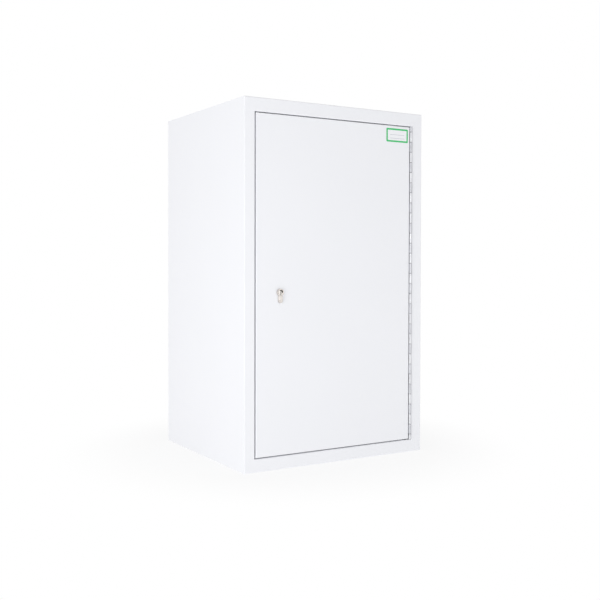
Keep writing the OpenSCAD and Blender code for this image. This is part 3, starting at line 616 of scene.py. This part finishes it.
def stacked(tree, copy, count, first, step):
    """Copies of a mesh set out straight up from a first height, each a step above the last."""
    line = add(tree, "GeometryNodeMeshLine", Count=count, Start_Location=lifted(tree, first),
               Offset=lifted(tree, step)).outputs[0]
    return add(tree, "GeometryNodeInstanceOnPoints", Points=line, Instance=copy).outputs[0]


def realised(tree, *parts):
    """Several parts joined into one real mesh."""
    join = add(tree, "GeometryNodeJoinGeometry")
    for part in parts:
        feed(tree, join.inputs[0], part)
    return add(tree, "GeometryNodeRealizeInstances", join.outputs[0]).outputs[0]


def ended(tree, out, geometry, material):
    """Ends a tree by setting the material of what it hands back."""
    dressed = add(tree, "GeometryNodeSetMaterial", Geometry=geometry, Material=material)
    give(tree, out, Geometry=dressed.outputs[0])
    print("tree", tree.name, "with", len(tree.nodes), "nodes")


# %% The Geometry Nodes tree that rolls and sets out the links
links, given, out = new_tree("rolled_links", [
    ("Thickness", FLOAT, 2 * MM), ("Height", FLOAT, 24.9 * MM), ("Edge round", FLOAT, 0.25 * MM),
    ("First middle", FLOAT, 0.0), ("Step", FLOAT, 50.6 * MM), ("Count", WHOLE, 15),
    ("Short height", FLOAT, 11.5 * MM), ("Short middle", FLOAT, 0.0), ("Material", MATERIAL, None),
])
path = add(links, "GeometryNodeMeshToCurve", given["Geometry"]).outputs[0]
on_edge = add(links, "GeometryNodeSetCurveNormal", path, mode="Z_UP").outputs[0]


def rolled(height):
    """The swept sheet for a link of one height."""
    section = add(links, "GeometryNodeCurvePrimitiveQuadrilateral", Width=given["Thickness"],
                  Height=height).outputs[0]
    rounder = add(links, "GeometryNodeFilletCurve", mode="POLY", Curve=section, Count=2,
                  Radius=given["Edge round"]).outputs[0]
    return add(links, "GeometryNodeCurveToMesh", Curve=on_edge, Profile_Curve=rounder,
               Fill_Caps=True).outputs[0]


full = stacked(links, rolled(given["Height"]), given["Count"], given["First middle"],
               given["Step"])
short = add(links, "GeometryNodeTransform", Geometry=rolled(given["Short height"]),
            Translation=lifted(links, given["Short middle"])).outputs[0]
ended(links, out, realised(links, full, short), given["Material"])

# %% Running a tree on a piece, and closing and joining what comes of it
def grown(piece, tree, **values):
    """The piece with its mesh grown by a Geometry Nodes tree, whose inputs are given by name."""
    modifier = piece.modifiers.new("grow", "NODES")
    modifier.node_group = tree
    for item in tree.interface.items_tree:
        key = item.name.replace(" ", "_")
        if item.in_out == "INPUT" and key in values:
            modifier[item.identifier] = values[key]
    mesh = evaluated(piece)
    piece.modifiers.clear()
    piece.data = mesh
    return piece


def closed(mesh):
    """Joins doubled points and turns every face outwards."""
    work = bmesh.new()
    work.from_mesh(mesh)
    bmesh.ops.remove_doubles(work, verts=work.verts, dist=2 * SAME_PLACE)
    bmesh.ops.recalc_face_normals(work, faces=work.faces)
    return poured(work, mesh)


def joined(first, *others):
    """The first mesh with the others added to it."""
    work = bmesh.new()
    for mesh in (first, *others):
        work.from_mesh(mesh)
    return poured(work, first)


# %% Flat steel with holes, cut from a filled curve
def cut_sheet(name, outline, holes, thick, edge):
    """A plate in the x-y plane about z = 0, cut to an outline with holes, its edges rounded."""
    curve = bpy.data.curves.new(name, "CURVE")
    curve.dimensions = "2D"
    curve.fill_mode = "BOTH"
    curve.extrude = thick / 2 - edge
    curve.bevel_depth = edge
    curve.bevel_resolution = 1
    curve.offset = -edge
    for loop in [outline, *holes]:
        spline = curve.splines.new("POLY")
        spline.points.add(len(loop) - 1)
        for point, (x, y) in zip(spline.points, loop):
            point.co = (x, y, 0, 1)
        spline.use_cyclic_u = True
    holder = place(name, curve)
    mesh = evaluated(holder)
    bpy.data.objects.remove(holder)
    return closed(mesh)


def ring(x, y, radius, steps=32):
    """Points of a circle."""
    turns = [math.tau * i / steps for i in range(steps)]
    return [(x + radius * math.cos(turn), y + radius * math.sin(turn)) for turn in turns]


# %% Both leaves: a plate with rivet holes and its sixteen links
RIVETS = 12
RIVET_HOLE = 2.02 * MM
rivet_low, rivet_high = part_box("frame_hinge_rivets")
RIVET_Y = (rivet_low.y + rivet_high.y) / 2
RIVET_HEIGHTS = [HINGE_LOW + (i + 0.5) * (HINGE_HIGH - HINGE_LOW) / RIVETS for i in range(RIVETS)]
PLATE_FRONT, PLATE_BACK = PIN_Y + 5.2 * MM, leaf_high.y
PLATE_EDGE, LINK_EDGE = 0.2 * MM, 0.25 * MM
ON_SIDE = Matrix(((0, 0, 1, 0), (1, 0, 0, 0), (0, 1, 0, 0), (0, 0, 0, 1)))


def hinge_leaf(name, node, side, steel):
    """One leaf; side is 1 for the frame's and -1 for the door's."""
    plate = cut_sheet(
        name + "_plate",
        [(PLATE_FRONT, HINGE_LOW), (PLATE_BACK, HINGE_LOW), (PLATE_BACK, HINGE_HIGH),
         (PLATE_FRONT, HINGE_HIGH)],
        [ring(RIVET_Y, z, RIVET_HOLE) for z in RIVET_HEIGHTS], LEAF_THICK, PLATE_EDGE,
    )
    plate.transform(Matrix.Translation((PIN_X + side * LEAF_MIDDLE, 0, 0)) @ ON_SIDE)
    short = END_LINK - LINK_GAP / 2
    piece = grown(
        place(name, tongue_line(side)), links, Thickness=ROLLED_THICK, Height=PITCH - LINK_GAP,
        Edge_round=LINK_EDGE, Step=2 * PITCH, Count=LINKS // 2 - 1, Short_height=short,
        First_middle=FIRST_JOINT + (PITCH * 1.5 if side > 0 else PITCH / 2),
        Short_middle=HINGE_LOW + short / 2 if side > 0 else HINGE_HIGH - short / 2,
        Material=steel,
    )
    joined(closed(piece.data), plate)
    return dress(baked(piece), node)


hinge_leaf("frame_leaf", "frame_hinge_leaf", 1, hinge_steel)
hinge_leaf("door_leaf", "door_hinge_leaf", -1, dull_hinge_steel)

# %% [markdown]
# ## Small hardware, set out by Geometry Nodes
# Rivets, screws, buffers, clips and plates are each made once. A tree then sets copies out on the
# points of a second mesh. Each point carries a "turn" that says which way its copy faces, and the
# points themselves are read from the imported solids, so nothing is measured twice.

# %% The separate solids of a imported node
def solids(node):
    """The lowest and highest corner of each separate solid in a node."""
    work = bmesh.new()
    work.from_mesh(frame["nodes"][node].data)
    bmesh.ops.remove_doubles(work, verts=work.verts, dist=SAME_PLACE)
    found, seen = [], set()
    for start in work.verts:
        if start in seen:
            continue
        seen.add(start)
        waiting, group = [start], []
        while waiting:
            vert = waiting.pop()
            group.append(vert.co)
            for edge in vert.link_edges:
                other = edge.other_vert(vert)
                if other not in seen:
                    seen.add(other)
                    waiting.append(other)
        found.append((Vector(map(min, zip(*group))), Vector(map(max, zip(*group)))))
    work.free()
    return found


print("screws on the lock's cover:", len(solids("lock_cover_screws")))

# %% The tree that sets copies out
set_out, given, out = new_tree("set_out", [("Places", OBJECT, None), ("Material", MATERIAL, None)])
spots = add(set_out, "GeometryNodeObjectInfo", Object=given["Places"]).outputs["Geometry"]
turn = add(set_out, "GeometryNodeInputNamedAttribute", data_type="FLOAT_VECTOR", Name="turn")
copies = add(
    set_out, "GeometryNodeInstanceOnPoints", Instance=given["Geometry"],
    Points=add(set_out, "GeometryNodeMeshToPoints", spots).outputs[0],
    Rotation=add(set_out, "FunctionNodeEulerToRotation", turn.outputs["Attribute"]).outputs[0],
)
ended(set_out, out, realised(set_out, copies.outputs[0]), given["Material"])

TO_BACK = (-math.pi / 2, 0, 0)
TO_FRONT = (math.pi / 2, 0, 0)
TO_LEFT = (0, -math.pi / 2, 0)
TO_RIGHT = (0, math.pi / 2, 0)
AS_MADE = (0, 0, 0)
ABOUT_FACE = (0, 0, math.pi)


def spread(name, node, mesh, places):
    """One mesh of copies of a small part, at (point, turn) places, in place of a node."""
    spots = plain_mesh(name + "_places", [spot[:] for spot, _ in places], [])
    turns = spots.attributes.new("turn", "FLOAT_VECTOR", "POINT")
    turns.data.foreach_set("vector", [angle for _, turned_by in places for angle in turned_by])
    holder = place(name + "_places", spots)
    piece = grown(place(name, mesh), set_out, Places=holder, Material=FINISHES[SLOT_OF[node]])
    bpy.data.objects.remove(holder)
    return dress(baked(piece), node)


# %% Turned, cut and tapered parts
def turned(name, profile, steps=28):
    """A solid turned about z from (radius, height) pairs in millimetres, low to high."""
    count = len(profile)
    verts = [(r * MM * math.cos(turn), r * MM * math.sin(turn), z * MM)
             for turn in (math.tau * i / steps for i in range(steps)) for r, z in profile]
    faces = []
    for first in range(0, steps * count, count):
        second = (first + count) % (steps * count)
        faces += [(first + i, second + i, second + i + 1, first + i + 1) for i in range(count - 1)]
    return closed(plain_mesh(name, verts, faces))


def cut(mesh, cutter):
    """The mesh with a second one taken away from it."""
    piece, tool = place("cut_piece", mesh), place("cut_tool", cutter)
    boolean = piece.modifiers.new("cut", "BOOLEAN")
    boolean.operation = "DIFFERENCE"
    boolean.solver = "EXACT"
    boolean.object = tool
    result = evaluated(piece)
    bpy.data.objects.remove(piece)
    bpy.data.objects.remove(tool)
    return result


def wall(count):
    """Faces that join two outlines of that many points."""
    return [(i, (i + 1) % count, (i + 1) % count + count, i + count) for i in range(count)]


def tapered(name, start, end):
    """A solid between two outlines that have the same number of points."""
    count = len(start)
    caps = [tuple(range(count - 1, -1, -1)), tuple(range(count, 2 * count))]
    return closed(plain_mesh(name, [*start, *end], wall(count) + caps))


# %% Rivets: a domed head, a shank and a tail spread behind the sheet
GRIP = 3.3
rivet = turned("rivet", [
    (0, -GRIP - 1.4), (1.7, -GRIP - 1.35), (2.5, -GRIP - 0.9), (2.8, -GRIP - 0.4), (2.8, -GRIP),
    (2, -GRIP), (2, 0), (3.2, 0), (3.15, 0.25), (2.6, 0.62), (1.6, 0.9), (0, 1),
], steps=20)
frame_side = leaf_high.x - LEAF_THICK
door_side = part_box("door_hinge_leaf")[0].x + LEAF_THICK
for name, node, x, turned_by in (
    ("frame_rivets", "frame_hinge_rivets", frame_side, TO_LEFT),
    ("door_rivets", "door_hinge_rivets", door_side, TO_RIGHT),
):
    spread(name, node, rivet,
                  [(Vector((x, RIVET_Y, z)), turned_by) for z in RIVET_HEIGHTS])

# %% Hinge pin: one long wire with a small head upset at each end
WIRE_R, HEAD_R, HEAD_THICK = 1.44, 2.5, 0.75
half = (pin_high.z - pin_low.z) / 2 / MM
head = [(0, 0), (2.1, 0), (HEAD_R, 0.2), (HEAD_R, 0.6), (2.3, HEAD_THICK), (WIRE_R, HEAD_THICK)]
wire = turned("pin", [(r, z - half) for r, z in head] + [(r, half - z) for r, z in head[::-1]],
              steps=32)
pin_middle = Vector((PIN_X, PIN_Y, (pin_low.z + pin_high.z) / 2))
spread("pin", "hinge_pin", wire, [(pin_middle, AS_MADE)])

# %% Screws: a low domed head with a cross recess
NARROWER, WIDER = 0.5, 1.3


def cross(width, arm, depth, top):
    """The tapered cross that a driver's tip would leave."""
    w, a = width / 2, arm / 2
    outline = [(a, -w), (a, w), (w, w), (w, a), (-w, a), (-w, w),
               (-a, w), (-a, -w), (-w, -w), (-w, -a), (w, -a), (w, -w)]
    return tapered("cross", *(
        [(x * share * MM, y * share * MM, z * MM) for x, y in outline]
        for share, z in ((NARROWER, top - depth), (WIDER, top + depth))
    ))


def screws(name, node, head_r, head_t, shank_r):
    """All the screws of a node, with their heads at the back; sizes are in millimetres."""
    found = solids(node)
    low, high = found[0]
    length = (high.y - low.y) / MM - head_t
    blank = turned(name, [
        (0, -length), (shank_r * 0.6, -length), (shank_r, -length + shank_r * 0.6),
        (shank_r, -0.01), (head_r, 0), (head_r, head_t * 0.45), (head_r * 0.86, head_t * 0.78),
        (head_r * 0.55, head_t), (0, head_t),
    ])
    one = cut(blank, cross(head_r * 0.3, head_r * 1.15, head_t * 0.62, head_t))
    under_heads = [Vector(((low.x + high.x) / 2, high.y - head_t * MM, (low.z + high.z) / 2))
                   for low, high in found]
    return spread(name, node, one, [(spot, TO_BACK) for spot in under_heads])


screws("cover_screws", "lock_cover_screws", head_r=3, head_t=1.5, shank_r=1.48)
screws("case_screws", "lock_case_screws", head_r=3.8, head_t=2, shank_r=1.98)
screws("guide_screws", "rod_guide_screws", head_r=3.2, head_t=1.8, shank_r=1.73)

# %% Rubber buffers on the stop lip, with a dished face that the door lands on
buffer = turned("buffer", [(0, 0), (4, 0), (4, 1.1), (3.6, 1.8), (3.1, 2), (2.2, 1.75), (0, 1.6)])
lands = [((low + high) / 2 + Vector((0, (high.y - low.y) / 2, 0)), TO_FRONT)
         for low, high in solids("door_buffers")]
spread("buffers", "door_buffers", buffer, lands)

# %% Thick plates welded inside the back, where the wall bolts go through
BOLT_PLATE, BOLT_PLATE_CORNER, BOLT_PLATE_THICK = 50 * MM, 4 * MM, 3 * MM
BOLT_HOLE_R, BOLT_PLATE_EDGE = 5.25 * MM, 0.4 * MM


def rounded_outline(wide, high, corner, steps=5, middle=(0, 0)):
    """Points of a rectangle with rounded corners."""
    points = []
    for quarter, (sx, sy) in enumerate(((1, 1), (-1, 1), (-1, -1), (1, -1))):
        for i in range(steps + 1):
            angle = math.pi / 2 * (quarter + i / steps)
            points.append((middle[0] + sx * (wide / 2 - corner) + corner * math.cos(angle),
                           middle[1] + sy * (high / 2 - corner) + corner * math.sin(angle)))
    return points


bolt_plate = cut_sheet("bolt_plate", rounded_outline(BOLT_PLATE, BOLT_PLATE, BOLT_PLATE_CORNER),
                       [ring(0, 0, BOLT_HOLE_R)], BOLT_PLATE_THICK, BOLT_PLATE_EDGE)
spread("bolt_plates", "wall_fixing_plates", bolt_plate,
              [((low + high) / 2, TO_FRONT) for low, high in solids("wall_fixing_plates")])

# %% [markdown]
# ## Slotted uprights and their clips
# Each upright is a shallow channel with a slot every 25 mm. One 25 mm length of it is a cell. The
# tree stacks the cells, joins them to the plain ends and merges them into one sheet, and a Solidify
# modifier then gives the sheet its thickness. That way the fold, the slots and the edges are those
# of real folded strip.

# %% One cell of an upright
STRIP = 1 * MM
BEND = 1 * MM
CHANNEL_W, CHANNEL_D = 20 * MM, 6 * MM
SLOT_PITCH, SLOT_W = 25 * MM, 10 * MM
SLOT_LOW, SLOT_HIGH = 11 * MM, 14 * MM


def channel_rows(heights, slotted):
    """The middle of the channel's sheet between heights; the web stands off and faces +x."""
    half, level = CHANNEL_W / 2 - STRIP / 2, CHANNEL_D - STRIP / 2
    flank = [(0.0, -half), (level - BEND, -half)]
    flank += [(level - BEND + BEND * math.sin(a), -half + BEND - BEND * math.cos(a))
              for a in map(math.radians, (30, 60, 90))]
    line = flank + [(level, -SLOT_W / 2), (level, SLOT_W / 2)]
    line += [(x, -y) for x, y in reversed(flank)]
    across, slot = len(line), len(flank)
    faces = []
    for row in range(len(heights) - 1):
        for i in range(across - 1):
            if not (slotted and row == 1 and i == slot):
                a = row * across + i
                faces.append((a, a + 1, a + 1 + across, a + across))
    return plain_mesh("channel", [(x, y, z) for z in heights for x, y in line], faces)


# %% The tree that stacks the cells
MERGE_WITHIN = 0.01 * MM
ladder, given, out = new_tree("ladder", [
    ("Cell", OBJECT, None), ("Count", WHOLE, 30), ("Pitch", FLOAT, 25 * MM),
    ("First", FLOAT, 0.0), ("Material", MATERIAL, None),
])
cell = add(ladder, "GeometryNodeObjectInfo", Object=given["Cell"]).outputs["Geometry"]
cells = stacked(ladder, cell, given["Count"], given["First"], given["Pitch"])
merged = add(ladder, "GeometryNodeMergeByDistance", Distance=MERGE_WITHIN,
             Geometry=realised(ladder, cells, given["Geometry"]))
ended(ladder, out, merged.outputs[0], given["Material"])

# %% Four uprights
CELLS = 30
FIRST_CELL_Z = 50 * MM


def upright(name, node, side):
    """A slotted channel on a wall; side is 1 for the left wall and -1 for the right."""
    low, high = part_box(node)
    first = FIRST_CELL_Z - low.z
    last = first + CELLS * SLOT_PITCH
    cell = place(name + "_cell", channel_rows([0, SLOT_LOW, SLOT_HIGH, SLOT_PITCH], True))
    ends = joined(channel_rows([0, first], False), channel_rows([last, high.z - low.z], False))
    piece = grown(place(name, ends), ladder, Cell=cell, Count=CELLS, Pitch=SLOT_PITCH, First=first,
                  Material=FINISHES["zinc_plate"])
    bpy.data.objects.remove(cell)
    thick = piece.modifiers.new("thickness", "SOLIDIFY")
    thick.thickness = STRIP
    thick.offset = 0
    thick.use_even_offset = True
    on_wall = Matrix.Translation((low.x if side > 0 else high.x, (low.y + high.y) / 2, low.z))
    half_turn = Matrix.Rotation(0 if side > 0 else math.pi, 4, "Z")
    baked(piece).data.transform(on_wall @ half_turn)
    return dress(piece, node)


upright("front_left_upright", "shelf_upright_front_left", 1)
upright("rear_left_upright", "shelf_upright_rear_left", 1)
upright("front_right_upright", "shelf_upright_front_right", -1)
upright("rear_right_upright", "shelf_upright_rear_right", -1)

# %% Bent strip
def bent_strip(line, thick, width):
    """A strip of sheet that follows (x, z) points in millimetres, as wide as given along y."""
    edges = []
    for i in range(len(line)):
        ax, az = line[max(i - 1, 0)]
        bx, bz = line[min(i + 1, len(line) - 1)]
        dx, dz = bx - ax, bz - az
        long = math.hypot(dx, dz)
        edges.append((-dz / long * thick / 2, dx / long * thick / 2))
    loop = [(x + nx, z + nz) for (x, z), (nx, nz) in zip(line, edges)]
    loop += [(x - nx, z - nz) for (x, z), (nx, nz) in reversed(list(zip(line, edges)))]
    count, half = len(loop), len(line)
    verts = [(x * MM, side * width / 2 * MM, z * MM) for side in (-1, 1) for x, z in loop]
    sides = [(i, i + 1, count - 2 - i, count - 1 - i) for i in range(half - 1)]
    sides += [tuple(v + count for v in reversed(face)) for face in sides]
    return closed(plain_mesh("strip", verts, wall(count) + sides))


def arc(x, z, radius, start, stop, steps=5):
    """Points of an arc in degrees."""
    turns = [math.radians(start + (stop - start) * i / steps) for i in range(steps + 1)]
    return [(x + radius * math.cos(turn), z + radius * math.sin(turn)) for turn in turns]


def rounded(mesh, width):
    """The mesh with its sharp edges rounded."""
    piece = place("rounding", mesh)
    bevelled(piece, width)
    result = evaluated(piece)
    bpy.data.objects.remove(piece)
    return result


# %% Twelve clips: strip bent into a ledge, with two hooks that drop into the slots
CLIP_STRIP, LEDGE_W, HOOK_W = 1.2, 14, 9
HOOK_HEIGHTS = (-5, -30)
CLIP_EDGE = 0.18 * MM
HOOK_REACH = 2 * MM

ledge = bent_strip([(0.6, -34), *arc(2, -2, 1.4, 180, 90), (11.5, -0.6)], CLIP_STRIP, LEDGE_W)
hooks = [bent_strip([(0.5, z + 0.6), *arc(-0.6, z - 0.2, 0.8, 90, 180), (-1.4, z - 1.2)],
                    CLIP_STRIP, HOOK_W) for z in HOOK_HEIGHTS]
clip = rounded(joined(ledge, *hooks), CLIP_EDGE)
hung = []
for low, high in solids("shelf_clips"):
    on_left = low.x < 0
    face = low.x + HOOK_REACH if on_left else high.x - HOOK_REACH
    hung.append((Vector((face, (low.y + high.y) / 2, high.z)), AS_MADE if on_left else ABOUT_FACE))
spread("clips", "shelf_clips", clip, hung)

# %% [markdown]
# ## The lock
# The case, its cover and the bars are pressed and milled steel, so their edges get a small even
# round. The cylinder is a plated brass body with a plug that turns in it. The mouth of its keyway
# is opened out like a funnel, with a step to one side for the key's profile, and that dark mouth
# is the one mark on the lock that is seen from across a room.

# %% Case, bars and gears: the two large gears' teeth are too fine to round, and stay as cut
for name, node, width in (
    ("lock_box", "lock_case", 0.2), ("lock_lid", "lock_cover", 0.15), ("bolt", "deadbolt", 0.4),
    ("upper_bar", "upper_locking_bar", 0.15), ("lower_bar", "lower_locking_bar", 0.15),
    ("bar_guides", "rod_guides", 0.25), ("large_gear", "drive_gear", 0),
    ("pinion", "bolt_pinion", 0.12), ("cam", "cam_gear", 0), ("gear_post", "lock_gear_post", 0.2),
    ("post_clip", "lock_gear_clip", 0.15), ("plug_screw", "cylinder_screw", 0.2),
):
    softened(name, node, width * MM)

# %% The plug's finish: the walls of its keyway are painted dark, as painted shade in the recess
plug_low, plug_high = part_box("cylinder_plug")
LOCK_X, LOCK_Z = (plug_low.x + plug_high.x) / 2, (plug_low.z + plug_high.z) / 2
LOCK_FACE = plug_low.y
SHADE_FROM = LOCK_FACE + 0.08 * MM
SHADE_FADE = 0.2 * MM
# Painted shade: the colour of the keyway's walls from a little behind the plug's face.
KEYWAY_SHADE = screen(42, 29, 14)

worn_plug = finish("worn_plug", grain, (248, 244, 239), (236, 231, 225), 1.0, Roughness=0.18,
                   Stretch=DRAWN_BACKWARDS)
tree = worn_plug.node_tree
depth = add(tree, "ShaderNodeSeparateXYZ", position(tree)).outputs["Y"]
keyway_shaded = eased(tree, depth, From_Min=SHADE_FROM, From_Max=SHADE_FROM + SHADE_FADE)
base = tree.nodes["Principled BSDF"].inputs["Base Color"]
feed(tree, base, blended(tree, keyway_shaded, base.links[0].from_socket, KEYWAY_SHADE))
print("the keyway darkens from", round(SHADE_FROM / MM, 2), "mm")

# %% Keyway, plug and cylinder
MOUTH = [(-0.9, -3.6), (0.9, -3.6), (0.9, 2.2), (2.3, 2.4), (2.7, -2.0), (5.0, -1.6), (5.5, 2.6),
         (4.5, 4.2), (3.1, 5.3), (-2.6, 5.3), (-2.6, 3.6), (-0.9, 3.3)]
MOUTH_DEEP, MOUTH_NARROWS = 1.6 * MM, 0.8
PLUG_EDGE, CYLINDER_EDGE, FACE_ONLY = 0.2 * MM, 0.45 * MM, 0.05 * MM


def funnel(outline, depth, narrowing):
    """A cutter that narrows from an outline about the lock as it goes in from the plug's face."""
    middle = Vector((sum(x for x, _ in outline), sum(z for _, z in outline))) / len(outline)
    return tapered("funnel", *(
        [(LOCK_X + (middle.x + (x - middle.x) * share) * MM, y,
          LOCK_Z + (middle.y + (z - middle.y) * share) * MM) for x, z in outline]
        for y, share in ((LOCK_FACE - depth, 2 - narrowing), (LOCK_FACE + depth, narrowing))
    ))


core = cut(welded("cylinder_plug"), funnel(MOUTH, MOUTH_DEEP, MOUTH_NARROWS))
core.materials.clear()
core.materials.append(worn_plug)
plug = place("plug", rounded(core, PLUG_EDGE))
dress(baked(plug), "cylinder_plug")
softened("cylinder", "cylinder_body", CYLINDER_EDGE, segments=3,
                front=LOCK_FACE + FACE_ONLY)
print("plug at", round(LOCK_X, 4), round(LOCK_Z, 4), "face at", round(LOCK_FACE, 4))

# %% [markdown]
# ## The label
# The label is white vinyl with rounded corners and a printed green rim. It carries no mark and no
# words, only two thin write-on rules. The print is worked out from the position on the label: how
# far a point lies inside the edge decides whether it is rim or ground.

# %% Label finish
label_low, label_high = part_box("label")
label_middle = (label_low + label_high) / 2
label_size = label_high - label_low
RIM, RIM_CORNER = 4.0 * MM, 1.0 * MM
RULES, RULE_HALF, RULE_LONG = (1.2 * MM, -7.4 * MM), 0.45 * MM, 22 * MM
RULE_STRENGTH = 0.8
INK_SPOTS = 900.0

vinyl = bpy.data.materials.new("label")
vinyl.use_nodes = True
FINISHES["label"] = vinyl
tree = vinyl.node_tree
calc = partial(maths, tree)
where = position(tree)
axes = add(tree, "ShaderNodeSeparateXYZ", where).outputs
across = calc("ABSOLUTE", calc("SUBTRACT", axes["X"], label_middle.x))
upward = calc("SUBTRACT", axes["Z"], label_middle.z)


def past(distance, size):
    """How far a point lies outside the straight part of the rim's inner edge, squared."""
    straight = size / 2 - RIM - RIM_CORNER
    outside = calc("MAXIMUM", calc("SUBTRACT", distance, straight), 0.0)
    return calc("MULTIPLY", outside, outside)


reach = calc("SQRT", calc("ADD", past(across, label_size.x),
                          past(calc("ABSOLUTE", upward), label_size.z)))
rim = calc("GREATER_THAN", reach, RIM_CORNER)
on_rules = [calc("LESS_THAN", calc("ABSOLUTE", calc("SUBTRACT", upward, z)), RULE_HALF)
            for z in RULES]
rules = calc("MULTIPLY", calc("MAXIMUM", *on_rules), calc("LESS_THAN", across, RULE_LONG))
ink = noise(tree, where, INK_SPOTS, 2.0)
ground = blended(tree, ink, screen(246, 247, 250), screen(240, 241, 245))
ruled = blended(tree, calc("MULTIPLY", rules, RULE_STRENGTH), ground, screen(172, 176, 190))
green = blended(tree, ink, screen(48, 188, 104), screen(64, 198, 118))
give(tree, tree.nodes["Principled BSDF"], Base_Color=blended(tree, rim, ruled, green),
     Roughness=0.3)
print("the label's print takes", len(tree.nodes), "nodes")

# %% Label: a thin sheet with rounded corners and a soft cut edge
LABEL_CORNER, LABEL_EDGE = 2 * MM, 0.08 * MM
UPRIGHT = Matrix(((1, 0, 0, 0), (0, 0, -1, 0), (0, 1, 0, 0), (0, 0, 0, 1)))

outline = rounded_outline(label_size.x, label_size.z, LABEL_CORNER, steps=6,
                          middle=(label_middle.x, label_middle.z))
sticker = cut_sheet("sticker", outline, [], label_size.y, LABEL_EDGE)
sticker.transform(Matrix.Translation((0, label_middle.y, 0)) @ UPRIGHT)
dress(baked(place("door_label", sticker)), "label")

# %% [markdown]
# ## The finished object's size
# The last cell prints the box of the finished object.

# %% Sizes and the end
low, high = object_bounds()
print("visual box:", [round(v, 4) for v in low], [round(v, 4) for v in high])
